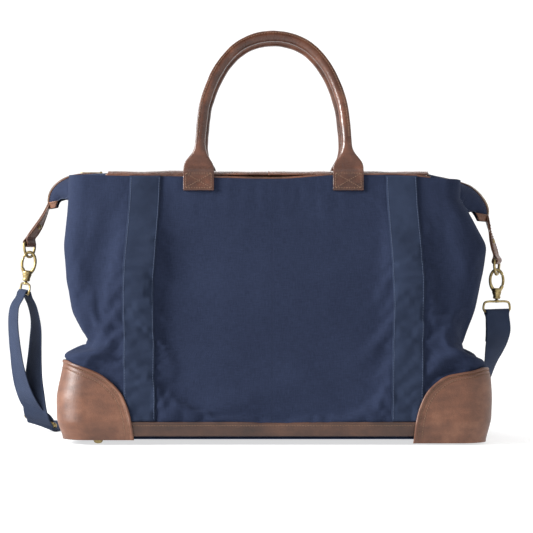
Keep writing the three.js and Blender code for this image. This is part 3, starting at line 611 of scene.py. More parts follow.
def half_depth(z):
    return lerp(BASE_HALF_DEPTH, TOP_HALF_DEPTH, rise(z)) - TUCK_UNDER * (1 - smoothstep(z, 0, BAND_TOP))


def half_length(end, z):
    heights, reach = END_PROFILES[end]
    return float(np.interp(z, heights, reach))


def walk_length(end, z):
    radius = corner_radius(z)
    return half_length(end, z) - radius + radius * math.pi / 2 + half_depth(z) - radius


def skin(end, side, walk, z):
    """Point and outward normal of the bag's wall, walking from the middle of a long side to an end."""
    radius = corner_radius(z)
    flat = half_length(end, z) - radius
    flat_depth = half_depth(z) - radius
    arc = radius * math.pi / 2
    if walk <= flat:
        crown = CROWN * math.sin(math.pi * rise(z)) * (1 - (walk / flat) ** 2)
        return Vector((end * walk, side * (flat_depth + radius + crown), z)), Vector((0, side, 0))
    if walk <= flat + arc:
        turn = (walk - flat) / radius
        bend = Vector((end * math.sin(turn), side * math.cos(turn), 0))
        return Vector((end * flat, side * flat_depth, z)) + radius * bend, bend
    left = flat_depth - (walk - flat - arc)
    sink = END_SINK * rise(z) * (1 - (left / flat_depth) ** 2)
    return Vector((end * (flat + radius - sink), side * left, z)), Vector((end, 0, 0))


def ring_place(column, per_quarter):
    """Which end and side a column of the shell belongs to, and how far along its walk (0 to 1)."""
    quarter, along = divmod(column, per_quarter)
    end, side = QUARTERS[quarter % 4]
    share = along / per_quarter
    return end, side, share if quarter % 2 == 0 else 1 - share


def ring_skin(column, per_quarter, z):
    """Point and normal of the plain wall at a column of the shell, and the share of its walk."""
    end, side, share = ring_place(column, per_quarter)
    return (*skin(end, side, share * walk_length(end, z), z), share)


# ---- How the canvas sags ---------------------------------------------------------------------
# Height, and distance from the bag's middle, of the edge of the leather corners, in mm.
CORNER_EDGE = [(8, 177), (35, 181), (51, 186), (67, 194), (79, 205), (91, 221), (98, 238), (107, 265)]
EDGE_LINE = spline(CORNER_EDGE, 90) * MM
EDGE_LINE = np.vstack([EDGE_LINE, [(PATCH_TOP, reach * MM) for reach in range(266, 380, 3)]])
CURVED = 91  # how many points of the line rise; the rest run level round the end


def corner_edge(z):
    """Distance from the middle at which the leather corner starts."""
    return float(np.interp(z, EDGE_LINE[:CURVED, 0], EDGE_LINE[:CURVED, 1]))


def past_edge(walk, z):
    """Distance from the edge of the leather corner, positive on the canvas and negative on the leather."""
    away = float(np.min(np.hypot(EDGE_LINE[:, 0] - z, EDGE_LINE[:, 1] - walk)))
    return -away if z < PATCH_TOP and walk > corner_edge(z) else away


class Drape:
    """Movement of the canvas away from the plain wall, on a grid of columns and rows."""
    per_quarter = 44
    columns = 4 * per_quarter
    rows = 44
    most = 7 * MM
    steps = 24  # of the simulation

    def __init__(self):
        self.low, self.high = FLOOR_EDGE + 4 * MM, RIM
        self.offset = np.zeros((self.rows + 1, self.columns, 3))

    def simulate(self):
        """Cloth with a little slack, held at the rim, the base and under the leather."""
        verts, pins, outwards = [], [], []
        for row in range(self.rows + 1):
            z = lerp(self.low, self.high, row / self.rows)
            for column in range(self.columns):
                place, out, _ = ring_skin(column, self.per_quarter, z)
                verts.append(place)
                outwards.append(out)
                pins.append(self.held(place, z))
        start = np.array([tuple(v) for v in verts])
        cloth = new_piece("drape", verts, loft_faces(self.rows + 1, self.columns, capped=False), CANVAS)
        group = cloth.vertex_groups.new(name="held")
        for index, weight in enumerate(pins):
            group.add([index], weight, "REPLACE")
        for index, out in enumerate(outwards):
            ripple = wander(*verts[index], 0.03, 3.0) + 0.6 * wander(*verts[index], 0.012, 8.0)
            cloth.data.vertices[index].co += out * 0.8 * MM * ripple * (1 - pins[index])
        self.run(cloth)
        evaluated = cloth.evaluated_get(bpy.context.evaluated_depsgraph_get())
        moved = np.array([tuple(v.co) for v in evaluated.data.vertices]) - start
        size = np.linalg.norm(moved, axis=1, keepdims=True)
        moved *= np.minimum(1, self.most / np.maximum(size, 1e-9))
        self.offset = moved.reshape(self.rows + 1, self.columns, 3)
        bpy.data.objects.remove(cloth)
        bpy.context.scene.frame_set(1)

    def held(self, place, z):
        """How firmly a point of the cloth is held, from 0 to 1."""
        under_leather = z < PATCH_TOP + 2 * MM and abs(place.x) > corner_edge(z) - 3 * MM
        under_webbing = abs(abs(place.x) - webbing_centre(z)) < 20 * MM and abs(place.y) > 30 * MM
        if z < BAND_TOP + 4 * MM or z > RIM - 6 * MM or under_leather:
            return 1.0
        return 0.55 if under_webbing else 0.0

    def run(self, cloth):
        modifier = cloth.modifiers.new("cloth", "CLOTH")
        settings = modifier.settings
        settings.quality = 6
        settings.mass = 0.25
        settings.tension_stiffness = 40
        settings.compression_stiffness = 30
        settings.shear_stiffness = 12
        settings.bending_stiffness = 1.2
        settings.shrink_min = -0.03
        settings.vertex_group_mass = "held"
        settings.pin_stiffness = 1.0
        settings.use_pressure = True
        settings.uniform_pressure_force = 0.25
        settings.effector_weights.gravity = 0.8
        modifier.collision_settings.use_collision = False
        modifier.point_cache.frame_start = 1
        modifier.point_cache.frame_end = self.steps
        for number in range(1, self.steps + 1):
            bpy.context.scene.frame_set(number)

    def at(self, end, side, share, z):
        """The movement at one place, read smoothly from the grid."""
        quarter = QUARTERS.index((end, side))
        along = share if quarter % 2 == 0 else 1 - share
        column = (quarter + along) * self.per_quarter
        row = clamp((z - self.low) / (self.high - self.low)) * self.rows
        c, r = int(math.floor(column)), min(int(row), self.rows - 1)
        fc, fr = column - c, row - r
        here, beside = self.offset[:, c % self.columns], self.offset[:, (c + 1) % self.columns]
        low, high = (here[k] * (1 - fc) + beside[k] * fc for k in (r, r + 1))
        return Vector(low * (1 - fr) + high * fr)


def fold(place, centre, along, length, width):
    """A soft ridge: 1 on a short line through centre in the given direction, 0 away from it."""
    away = place - centre
    line = along.normalized()
    down = away.dot(line)
    off = (away - line * down).length
    return math.exp(-(off / width) ** 2 - (down / length) ** 2)


# Creases, in mm: where, direction, half-length, half-width, and height outwards.
CREASE_ROWS = [
    ((-208, -95, 116), (1, 0, -0.1), 26, 4.5, 3.4), ((-212, -95, 107), (1, 0, -0.35), 24, 3.6, -2.6),
    ((-228, -90, 128), (1, 0, 0.45), 24, 6, 2.6), ((-196, -95, 101), (1, 0, -0.75), 20, 3.4, 2.2),
    ((228, -92, 120), (1, 0, 0.3), 26, 5, 3.6), ((222, -93, 108), (1, 0, 0.5), 24, 3.6, -2.8),
    ((236, -88, 134), (1, 0, 0.15), 26, 6, 2.4), ((206, -95, 99), (1, 0, 0.8), 20, 3.4, 2.2),
    ((-208, 95, 114), (1, 0, 0.1), 26, 4.5, 3.0), ((-216, 95, 128), (1, 0, -0.3), 24, 6, -2.4),
    ((216, 95, 118), (1, 0, -0.2), 26, 5, 3.2), ((224, 94, 131), (1, 0, 0.3), 24, 5, -2.4),
    ((-262, -30, 122), (0, 1, 0.15), 40, 7, 1.6), ((-262, 34, 125), (0, 1, -0.2), 40, 7, 1.4),
    ((262, -30, 120), (0, 1, -0.15), 40, 7, 1.6), ((262, 36, 126), (0, 1, 0.2), 40, 7, 1.4),
    ((-40, -98, 60), (1, 0, 0.3), 60, 14, 1.6), ((34, -96, 88), (1, 0, -0.25), 70, 16, 1.4),
    ((-160, -85, 230), (0.3, 0, 1), 70, 16, 1.8), ((168, -84, 238), (-0.35, 0, 1), 70, 17, 2.0),
    ((20, -80, 300), (1, 0, 0.05), 120, 14, -1.6), ((-236, -72, 262), (0.25, 0, 1), 60, 12, 2.2),
    ((240, -74, 252), (-0.3, 0, 1), 60, 12, 2.4), ((-60, 96, 130), (1, 0, 0.4), 90, 20, 1.6),
    ((70, 88, 220), (0.6, 0, 1), 90, 20, 1.6), ((277, 0, 250), (0, 1, 0), 70, 34, 3.2),
    ((-188, -92, 225), (0, 0, 1), 110, 42, 4), ((190, -92, 225), (0, 0, 1), 110, 42, 3.4),
    ((-188, 92, 225), (0, 0, 1), 110, 42, 3.4), ((190, 92, 225), (0, 0, 1), 110, 42, 3.4),
]
CREASE_STRENGTH = 1.6
CREASES = [
    (Vector(place) * MM, Vector(along), length * MM, width * MM, height * CREASE_STRENGTH * MM)
    for place, along, length, width, height in CREASE_ROWS
]
LOBE_FROM = 186 * MM
END_DROP = {-1: 0.0, 1: 9 * MM}  # the leather corners at the right end sit lower


def softness(place, z):
    """0 where leather or a seam holds the canvas flat, 1 where it is free."""
    free = smoothstep(z, BAND_TOP, BAND_TOP + 20 * MM) * (1 - smoothstep(z, RIM - 14 * MM, RIM))
    if abs(place.x) > corner_edge(z) - 12 * MM or z < PATCH_TOP and abs(place.x) > LOBE_FROM:
        free *= smoothstep(past_edge(abs(place.x), z), -1 * MM, 3 * MM)
    return free


drape = Drape()


def lobe(walk, z):
    """The canvas is pinched just above the leather corners and swells over them."""
    away = past_edge(walk, z)
    if away < 0:
        return 0.0
    along = smoothstep(walk, LOBE_FROM, LOBE_FROM + 26 * MM)
    round_end = smoothstep(walk, LOBE_FROM + 40 * MM, LOBE_FROM + 85 * MM)
    pinch = lerp(-4.2, 0.5, round_end) * MM * math.exp(-((away - 5 * MM) / (4.5 * MM)) ** 2)
    crest = lerp(20, 11, round_end) * MM
    swell = lerp(4.5, 6.5, round_end) * MM * math.exp(-((away - crest) / (9 * MM)) ** 2)
    return along * (pinch + swell)


def cloth(end, side, walk, z, inset=0.0):
    """Point and normal of the sagging canvas; pieces sewn on it use the same call with their own inset."""
    place, out = skin(end, side, walk, z)
    share = clamp(walk / walk_length(end, z))
    moved = drape.at(end, side, share, z)
    push = sum(height * fold(place, *shape) for *shape, height in CREASES)
    if walk > LOBE_FROM and z > BAND_TOP:
        push += lobe(walk, z)
    push += 1.1 * MM * wander(*place, 0.11, 1.0) + 0.35 * MM * wander(*place, 0.03, 5.0)
    push *= softness(place, z)
    moved *= 1 - 0.75 * smoothstep(z, RIM - 110 * MM, RIM - 30 * MM)
    drop = END_DROP[end] * math.exp(-((z - PATCH_TOP) / (24 * MM)) ** 2)
    moved.z -= drop * smoothstep(walk, LOBE_FROM, LOBE_FROM + 75 * MM)
    return place + moved + out * (push - inset), out


# ---- Shell, base and lining ------------------------------------------------------------------
QUARTER_LENGTH = 0.36  # of the wall in metres, for the weave
# Place along the bag and height above the rim of its top edge, in mm.
RIM_DIPS = [(-270, 1.5), (-160, 0), (3, -3.5), (90, 1.5), (150, 1.5), (233, -4), (262, -8)]


def rim_height(x):
    """The top edge of the canvas wanders a little along the bag."""
    return RIM + MM * read(RIM_DIPS, x / MM)


def make_shell():
    """The canvas body: one lofted wall with its own thickness."""
    per_quarter, rows = ((104, 104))
    columns = 4 * per_quarter

    def place(u, v, w):
        column = round(u * columns) % columns
        end, side, share = ring_place(column, per_quarter)
        z = lerp(WALL_FOOT, RIM, v)
        point, _ = cloth(end, side, share * walk_length(end, z), z, (1 - w) * CANVAS_THICK)
        point.z += (rim_height(point.x) - RIM) * smoothstep(z, RIM - 50 * MM, RIM)
        return point, (column / per_quarter * QUARTER_LENGTH, z)

    shell = sheet_piece("canvas_shell", CANVAS, rows, columns, place, closed=True)
    settle(shell, "canvas", "bag", "front_panel", "back_panel", "left_gusset", "right_gusset")


def make_base():
    """Canvas base: a flat double sheet of rings inside the foot of the walls."""
    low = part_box("base_panel")[0].z
    per_quarter, rings = 24, 10
    count = 4 * per_quarter
    verts = []
    for height in (low + CANVAS_THICK, low):
        for size in [ring / rings for ring in range(1, rings + 1)]:
            for column in range(count):
                edge, out, _ = ring_skin(column, per_quarter, WALL_FOOT)
                verts.append(Vector((edge.x * size, edge.y * size, height)) - out * 1.2 * MM * size)
    verts += [Vector((0, 0, low + CANVAS_THICK)), Vector((0, 0, low))]
    faces = []
    under, edge = rings * count, (rings - 1) * count
    for ring in range(rings - 1):
        for i in range(count):
            a, b = ring * count + i, ring * count + (i + 1) % count
            faces.append((a, a + count, b + count, b))
            faces.append((under + b, under + b + count, under + a + count, under + a))
    for i in range(count):
        j = (i + 1) % count
        faces.append((len(verts) - 2, i, j))
        faces.append((len(verts) - 1, under + j, under + i))
        faces.append((edge + i, under + edge + i, under + edge + j, edge + j))
    base = faces_out(new_piece("canvas_base", verts, faces, CANVAS, True, [tuple(v.xy) for v in verts]))
    settle(base, "canvas", "bag", "base_panel")


def make_lining():
    """Loose cloth bag inside, with soft vertical folds and a hemmed top."""
    low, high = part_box("lining")
    per_quarter, rows, depth, thick = 44, 40, 9.2 * MM, 1.2 * MM
    columns = 4 * per_quarter

    def place(u, v, w):
        z = lerp(low.z + 1 * MM, high.z, v)
        point, out, share = ring_skin(round(u * columns) % columns, per_quarter, z)
        ripple = 1.4 * MM * wander(point.x, point.y, z * 0.25, 0.02, 2.0) * math.sin(math.pi * v)
        ripple -= 11 * MM * math.exp(-((z - PATCH_TOP - 8 * MM) / (26 * MM)) ** 2)
        hem = 0.6 * MM * smoothstep(z, high.z - 12 * MM, high.z - 10 * MM)
        point += out * (ripple - depth - (1 - w) * (thick + hem))
        return point, (share * QUARTER_LENGTH, z)

    verts, faces, uvs = solid_sheet(rows, columns, place, closed=True)
    floor_first = len(verts)
    for height in (low.z, low.z + thick):
        verts.extend(Vector((verts[i].x, verts[i].y, height)) for i in range(columns))
        uvs.extend((verts[i].x, verts[i].y) for i in range(columns))
    faces.append(tuple(floor_first + columns - 1 - i for i in range(columns)))
    faces.append(tuple(floor_first + columns + i for i in range(columns)))
    for i in range(columns):
        j = (i + 1) % columns
        faces.append((floor_first + i, floor_first + j, floor_first + columns + j, floor_first + columns + i))
    lining = faces_out(new_piece("cloth_lining", verts, faces, LINING, True, uvs))
    settle(lining, "lining_cloth", "bag", "lining")


# ---- Leather corners, base bands and webbing bands --------------------------------------------
ON_CANVAS = -0.3 * MM
ON_WEBBING = -2.3 * MM
LEATHER_THICK = 1.6 * MM
WEBBING_WIDTH = 38 * MM
WEBBING_THICK = 1.6 * MM
WEBBING_LINE = in_metres([(30, 170), (190, 173), (344, 165)])  # height, distance from the middle
SEAM_INSET = 4.6 * MM
SECOND_SEAM = 10 * MM
GAP_AT_END = 0.2 * MM
CORNER_SAG = {-1: 2 * MM, 1: 6 * MM}


def ridges(edge, *rows):
    """Extra thickness near an edge: each row is a ridge or groove's place, half-width and height in mm."""
    return sum(height * MM * math.exp(-((edge / MM - place) / width) ** 2) for place, width, height in rows)


def sagging(point, end, z):
    """The leather corners roll under the bag, and sag at the heavier right end."""
    point.z -= CORNER_SAG[end] * (1 - smoothstep(z, FLOOR_EDGE, FLOOR_EDGE + 22 * MM))
    return point


def make_corner(name, end, side):
    """Leather patch wrapped round a base corner, with a rolled top edge and a double seam."""
    columns, rows = ((84, 90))
    low = FLOOR_EDGE + 0.5 * MM

    def place(u, v, w):
        z = lerp(low, PATCH_TOP - 0.01 * MM, v)
        start, stop = corner_edge(z), walk_length(end, z) - GAP_AT_END
        walk = lerp(start, stop, u ** 1.15)
        edge = -min(past_edge(walk, z), 0.0)
        crumple = 0.6 * MM * wander(walk, z, end * side, 0.03, 4.0) * smoothstep(edge, 6 * MM, 20 * MM)
        outer = LEATHER_THICK + ridges(edge, (1.8, 1.9, 1.5), (4.6, 0.8, -0.7), (10, 0.9, -0.4)) + crumple
        point, _ = cloth(end, side, walk, z, ON_WEBBING - w * outer)
        return sagging(point, end, z), (walk + (0 if side < 0 else 0.7), z)

    settle(sheet_piece(name + "_leather", LEATHER, rows, columns, place), "leather", "bag", name)
    seam = Parts()
    for offset in (SEAM_INSET, SECOND_SEAM):
        line = []
        for z, reach in edge_line_inside(offset):
            if low + 6 * MM < z and reach < walk_length(end, z) - 1 * MM:
                point, out = cloth(end, side, reach, z, ON_WEBBING - LEATHER_THICK + 0.1 * MM)
                line.append((sagging(point, end, z), out))
        stitches(seam, line)
    settle(seam.piece(name + "_stitching", BROWN_THREAD), "leather", "bag")


def edge_line_inside(offset):
    """The line at a distance inside the edge of a leather corner, as (height, walk) pairs."""
    ahead = np.gradient(EDGE_LINE, axis=0)
    ahead /= np.linalg.norm(ahead, axis=1, keepdims=True)
    inside = EDGE_LINE + offset * np.stack([-ahead[:, 1], ahead[:, 0]], axis=1)
    return [tuple(pair) for pair in inside.tolist()]


def make_base_band(name, side):
    """Leather band along the bottom edge between two corner patches."""
    columns, rows = 120, 12
    low = FLOOR_EDGE + 3.5 * MM

    def place(u, v, w):
        z = lerp(low, BAND_TOP, v)
        along = lerp(-1, 1, u)
        end = -1 if along < 0 else 1
        walk = abs(along) * (corner_edge(z) + 6 * MM)
        swell = ridges(BAND_TOP - z, (1.6, 1.8, 0.9), (4.6, 0.8, -0.4))
        swell += 0.3 * MM * wander(end * walk, z, side, 0.025, 6.0)
        point, _ = cloth(end, side, walk, z, ON_CANVAS - w * (LEATHER_THICK + swell))
        return point, (end * walk, z)

    # The band's darker leather is painted shade.
    settle(sheet_piece(name + "_leather", BASE_LEATHER_SHADED, rows, columns, place), "leather", "bag", name)
    seam = Parts()
    z = BAND_TOP - SEAM_INSET
    reach = corner_edge(z)
    inset = ON_CANVAS - LEATHER_THICK + 0.2 * MM
    stitches(seam, [cloth(-1 if x < 0 else 1, side, abs(x), z, inset) for x in spaced(-reach, reach, 140)])
    settle(seam.piece(name + "_stitching", BROWN_THREAD), "leather", "bag")


def make_rim_binding(name, side):
    """Leather piping over the top edge of a panel, along the mouth."""
    line = []
    for x in spaced(MOUTH_LEFT - 2 * MM, MOUTH_RIGHT + 2 * MM, 120):
        y = side * (half_depth(RIM) - 0.9 * MM)
        line.append(Vector((x, y, rim_height(x) + 0.5 * MM + 0.3 * MM * wander(x, y, 0, 0.02, 3))))
    piping = faces_out(new_piece(name + "_rim_binding", *tube(line, 1.4 * MM), HANDLE))
    settle(piping, "handle_leather", "bag")


def webbing_centre(z):
    return read(WEBBING_LINE, z)


def make_webbing_band(name, end, side):
    """Vertical webbing with thickened selvedges, sewn down along both edges."""
    low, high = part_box(name)
    columns, rows = 24, 110

    def place(u, v, w):
        z = lerp(low.z + 0.2 * MM, high.z, v)
        off = (u - 0.5) * (WEBBING_WIDTH + 2 * MM)
        edge = WEBBING_WIDTH / 2 + 1 * MM - abs(off)
        selvedge = ridges(edge, (0.9, 0.7, 0.25), (2, 0.6, -0.35))
        crown = 0.25 * MM * (1 - (2 * u - 1) ** 2)
        wave = 0.12 * MM * wander(end * 0.2, side, z, 0.045, 3.0)
        walk = webbing_centre(z) + off + 0.5 * MM * wander(end, side, z, 0.12, 9.0)
        point, _ = cloth(end, side, walk, z, ON_CANVAS - w * (WEBBING_THICK + selvedge + crown + wave))
        return point, (off, z)

    settle(sheet_piece(name + "_band", WEBBING, rows, columns, place), "webbing", "bag", name)
    seam = Parts()
    inset = ON_CANVAS - WEBBING_THICK - 0.05 * MM
    for off in (1 * MM - WEBBING_WIDTH / 2, WEBBING_WIDTH / 2 - 1 * MM):
        heights = spaced(low.z + 3 * MM, high.z - 2 * MM, 120)
        stitches(seam, [cloth(end, side, webbing_centre(z) + off, z, inset) for z in heights])
    settle(seam.piece(name + "_stitching", NAVY_THREAD), "webbing", "bag")


def make_feet():
    """Domed feet with a turned edge."""
    for name in [n for n in frame["nodes"] if n.startswith("foot_")]:
        low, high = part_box(name)
        centre = ((low.x + high.x) / 2, (low.y + high.y) / 2, low.z)
        radius, height = (high.x - low.x) / 2, high.z - low.z
        profile = [
            (height, 0.2 * MM), (height, 0.55 * radius), (height * 0.8, 0.62 * radius),
            (height * 0.74, 0.96 * radius), (height * 0.6, radius), (height * 0.42, 0.97 * radius),
            (height * 0.25, 0.86 * radius),
            (height * 0.12, 0.68 * radius), (height * 0.04, 0.42 * radius), (0.0, 0.2 * MM),
        ]
        metal(name + "_dome", "bag", name, lathe(profile, centre, (0, 0, 1), 32))


# ---- Handles ---------------------------------------------------------------------------------
HANDLE_ARCH = [  # distance from the bag's middle and height, in mm, of half a handle
    (94.6, 386.4), (92.6, 412), (89.4, 436), (83, 457), (74.5, 477), (61.5, 497), (43, 514.5), (22, 524),
    (0, 527),
]
HANDLE_RADIUS = 6.8 * MM
FOLD_HEIGHT = 351 * MM
SEAM_BOTTOM = 392 * MM
FOLD_REACH = 64.6 * MM
HANDLE_LEAN = 36 / 176
SEAM_ANGLE = 0.62 * math.pi * 2
# Where the flat patch turns into the round handle: height, half-width and half-thickness in mm, squareness.
NECK = [
    (351, 19.6, 1.75, 6.0), (356, 19.4, 2.1, 5.0), (361, 17.6, 2.9, 4.0), (367, 13.6, 4.1, 3.0),
    (373, 9.8, 5.4, 2.4), (380, 7.6, 6.4, 2.1), (386.4, 6.8, 6.8, 2.0),
]


def handle_reach(z):
    """How far the handle stands from the middle plane at a height."""
    return FOLD_REACH - HANDLE_LEAN * max(z - FOLD_HEIGHT, 0)


def handle_stations(side):
    """Rows of (centre, half-width, half-thickness, squareness) from one patch over the arch to the other."""
    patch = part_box("front_left_handle_patch")
    leg = []
    for z in spaced(patch[0].z, FOLD_HEIGHT - 0.5 * MM, 12):
        point, _ = cloth(1, side, HANDLE_X, z, ON_CANVAS - 1.65 * MM)
        leg.append((Vector((HANDLE_X, point.y, z)), 19.8 * MM, 1.65 * MM, 7.0))
    for z, wide, thick, square in NECK:
        x = lerp(HANDLE_X, HANDLE_ARCH[0][0] * MM, smoothstep(z, 351, 386.4))
        leg.append((Vector((x, side * handle_reach(z * MM), z * MM)), wide * MM, thick * MM, square))
    arch = [(x * MM, z * MM) for x, z in HANDLE_ARCH[1:]]
    arch += [(-x, z) for x, z in reversed(arch[:-1])]
    middle = [(Vector((x, side * handle_reach(z), z)), HANDLE_RADIUS, HANDLE_RADIUS, 2.0) for x, z in arch]
    mirrored = [(Vector((-c.x, c.y, c.z)), wide, thick, square) for c, wide, thick, square in reversed(leg)]
    table = [(*centre, *shape) for centre, *shape in leg + middle + mirrored]
    return [(Vector(row[:3]), *row[3:]) for row in spline(table, 300).tolist()]


def superellipse(angle, wide, thick, square):
    c, s = math.cos(angle), math.sin(angle)
    power = 2 / square
    return wide * math.copysign(abs(c) ** power, c), thick * math.copysign(abs(s) ** power, s)


def make_handle(name, side):
    """Rolled leather handle with its flared necks and sewn patches, in one piece."""
    rows = handle_stations(side)
    sides = 36
    plane = Vector((0, 1, HANDLE_LEAN * side)).normalized()
    verts, uvs, frames = [], [], []
    walked = 0.0
    for i, (centre, wide, thick, square) in enumerate(rows):
        tangent = (rows[min(i + 1, len(rows) - 1)][0] - rows[max(i - 1, 0)][0]).normalized()
        flat = smoothstep(FOLD_HEIGHT + 6 * MM - centre.z, 0, 10 * MM)
        depth = plane.lerp(Vector((0, 1, 0)), flat)
        depth = (depth - tangent * depth.dot(tangent)).normalized()
        across = tangent.cross(depth)
        frames.append((centre, across, depth))
        if i:
            walked += (centre - rows[i - 1][0]).length
        round_here = smoothstep(centre.z, 0.36, 0.39)
        for k in range(sides):
            angle = 2 * math.pi * k / sides
            a, b = superellipse(angle, wide, thick, square)
            point = centre + across * a + depth * b
            out = (across * a / max(wide, 1e-6) + depth * b / max(thick, 1e-6)).normalized()
            seam = math.exp(-((angle - SEAM_ANGLE) / 0.2) ** 2)
            lump = 0.3 * MM * wander(*point, 0.011, side) + 0.35 * MM * wander(*point, 0.035, 3 + side)
            point += out * round_here * (1.5 * MM * seam + lump)
            verts.append(point)
            uvs.append((angle / (2 * math.pi) * 0.045, walked))
    handle = new_piece(name + "_rolled", verts, loft_faces(len(rows), sides), HANDLE, True, uvs)
    panel = name.split("_")[0]
    nodes = [f"{panel}_{hand}_handle_{part}" for hand in ENDS for part in ("neck", "patch")]
    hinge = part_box(f"{panel}_left_handle_patch")[1].z
    start, end = (0, side * FOLD_REACH, hinge - 2.5 * MM), (0, side * FOLD_REACH, hinge + 8 * MM)
    settle_blend(faces_out(handle), "handle_leather", ("bag", name), start, end, name + "_leather", *nodes)
    make_handle_seam(name, side, frames)
    make_patch_stitching(name, side)


def make_handle_seam(name, side, frames):
    """The line of stitches that closes the rolled leather round its core."""
    seam = Parts()
    turn = SEAM_ANGLE + 0.34
    line = []
    for centre, across, depth in frames:
        if centre.z >= SEAM_BOTTOM:
            out = (across * math.cos(turn) + depth * math.sin(turn)).normalized()
            line.append((centre + out * (HANDLE_RADIUS + 0.5 * MM), out))
    stitches(seam, line, 3.6 * MM, 0.45 * MM)
    settle(seam.piece(name + "_seam", BROWN_THREAD), "handle_leather", name)


def make_patch_stitching(name, side):
    """A sewn box with a cross in it on each patch."""
    seam = Parts()
    low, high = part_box("front_left_handle_patch")
    bottom, top, half = low.z + 3.2 * MM, high.z - 3.5 * MM, 16.4 * MM

    def on_patch(x, z):
        point, _ = cloth(1, side, HANDLE_X, z, ON_CANVAS - 3.35 * MM)
        return Vector((x, point.y, z))

    corners = [(-half, bottom), (half, bottom), (half, top), (-half, top)]
    for end in (-1, 1):
        for first, last in ((0, 1), (1, 2), (2, 3), (3, 0), (0, 2), (1, 3)):
            (x0, z0), (x1, z1) = corners[first], corners[last]
            spots = [on_patch(end * HANDLE_X + lerp(x0, x1, t), lerp(z0, z1, t)) for t in spaced(0, 1, 12)]
            stitches(seam, [(spot, (0, side, 0)) for spot in spots], 3.0 * MM)
    settle(seam.piece(name + "_patch_stitching", BROWN_THREAD), "handle_leather", "bag")


# ---- Zipped top ------------------------------------------------------------------------------
MOUTH_LEFT, MOUTH_RIGHT = (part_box("front_zip_facing")[i].x for i in (0, 1))
MOUTH_MIDDLE = (MOUTH_LEFT + MOUTH_RIGHT) / 2
# Section of a zip facing, from the rim to the zip: distance from the middle plane, and height.
FACING = in_metres([(59.4, 346.2), (52, 349.4), (42, 351), (30, 350.2), (18, 348), (7.6, 347)])
ZIP_Z = (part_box("front_zip_teeth")[0].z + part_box("front_zip_teeth")[1].z) / 2
FACING_WIDTH = 52 * MM
TOOTH_PITCH = 2.4 * MM
FREE_FROM = 110 * MM  # how far from its end a mouth flap was to start following its hinge; handed on but not used


def mouth_half(half):
    """Name and both ends in x of the left (-1) or right (1) half of the mouth."""
    return ("left", MOUTH_LEFT, MOUTH_MIDDLE) if half < 0 else ("right", MOUTH_MIDDLE, MOUTH_RIGHT)


def settle_on_flap(piece, slot, name, half, *nodes):
    """Hide the CAD nodes of a mouth flap piece and bake its placing; the span from its fixed end towards the
    middle of the mouth is handed on but not used.
    """
    y = SIDES[name] * FACING[0][0]
    fixed = MOUTH_LEFT if half < 0 else MOUTH_RIGHT
    start, end = (fixed, y, ZIP_Z), (fixed - half * FREE_FROM, y, ZIP_Z)
    settle_blend(piece, slot, ("bag", name + "_mouth"), start, end, *nodes)


def make_facing(name, side, half):
    """Half of a leather zip facing, crowned and lightly buckled."""
    columns, rows = 70, 24
    curve = spline(FACING, rows).tolist()
    hand, first, last = mouth_half(half)

    def place(u, v, w):
        y, z = curve[round(v * rows)]
        x = lerp(first, last, u)
        away = math.sin(math.pi * clamp(v * 1.02))
        buckle = 1.5 * wander(x, y * side, 0, 0.05, side + 3) + 0.5 * wander(x, y * side, 0, 0.02, 7)
        swell = ridges(min(v, 1 - v) * FACING_WIDTH, (1.4, 1.4, 0.7), (4.2, 0.8, -0.35))
        height = z - LEATHER_THICK * (1 - w) + (buckle * MM * away + swell * w)
        return Vector((x, side * y, height)), (x, y)

    facing = sheet_piece(f"{name}_facing_{hand}", HANDLE, rows, columns, place)
    settle_on_flap(facing, "handle_leather", name, half, name + "_zip_facing")


def make_teeth(name, side, half):
    """Half a zip tape with its separate teeth."""
    hand, first, last = mouth_half(half)

    def place(u, v, w):
        x = lerp(first, last, u)
        y = lerp(2.6 * MM, 9.6 * MM, v)
        ridge = 0.25 * MM * math.sin(math.pi * v)
        return Vector((x, side * y, ZIP_Z - 0.35 * MM + w * 0.7 * MM + ridge * w)), (y, x)

    tape = sheet_piece(f"{name}_zip_tape_{hand}", TAPE, 6, 60, place)
    settle_on_flap(tape, "zip_teeth", name, half, name + "_zip_teeth")
    stagger = 0.75 if side > 0 else 0.25
    places = [first + (i + stagger) * TOOTH_PITCH for i in range(int((last - first) / TOOTH_PITCH))]
    teeth = Parts(*[tooth(x, side) for x in places])
    row = faces_out(teeth.piece(f"{name}_teeth_{hand}", TEETH, False))
    settle_on_flap(row, "zip_teeth", name, half)


def tooth(x, side):
    """One tooth: a block clamped on the tape with a narrower nose towards the middle."""
    outline = [(4.4, 0.72), (3.0, 0.72), (1.5, 0.55), (0.5, 0.5)]
    verts = []
    for y, half in outline:
        for sx, sz in ((-1, -1), (1, -1), (1, 1), (-1, 1)):
            verts.append((x + sx * half * MM, side * y * MM, ZIP_Z + sz * 1.15 * MM * (0.75 if y < 2 else 1)))
    return verts, loft_faces(len(outline), 4)


# Stations along the ridge of each ear, in mm: [x, z], half-width across the bag, depth of the flanks.
EARS = {
    "left": [
        (-216, 351, 57.5, 6), (-238, 350.5, 55, 9), (-262, 346.5, 49, 24), (-281, 338, 39, 28),
        (-292, 326, 27, 24), (-295, 314, 18, 15), (-293, 303, 12, 8),
    ],
    "right": [
        (202, 350, 56.5, 7), (222, 345.5, 52, 9), (242, 338.5, 45, 20), (260, 331, 38, 30),
        (274, 318, 28, 30), (281.5, 303, 19, 23), (280, 286, 12, 10),
    ],
}
EAR_STEPS = 120
EAR_LENGTH = 0.155
WRAP_FROM = 0.92  # where the leather end wrap begins along the ridge
STRIP_FROM, STRIP_TO = 0.11, 0.2  # the leather strips beside the zip, as turns from the ridge


def ear_stations(hand):
    rows = [(x * MM, 0, z * MM, wide * MM, deep * MM) for x, z, wide, deep in EARS[hand]]
    return spline(rows, EAR_STEPS)


EAR_LINES = {hand: ear_stations(hand) for hand in ENDS}


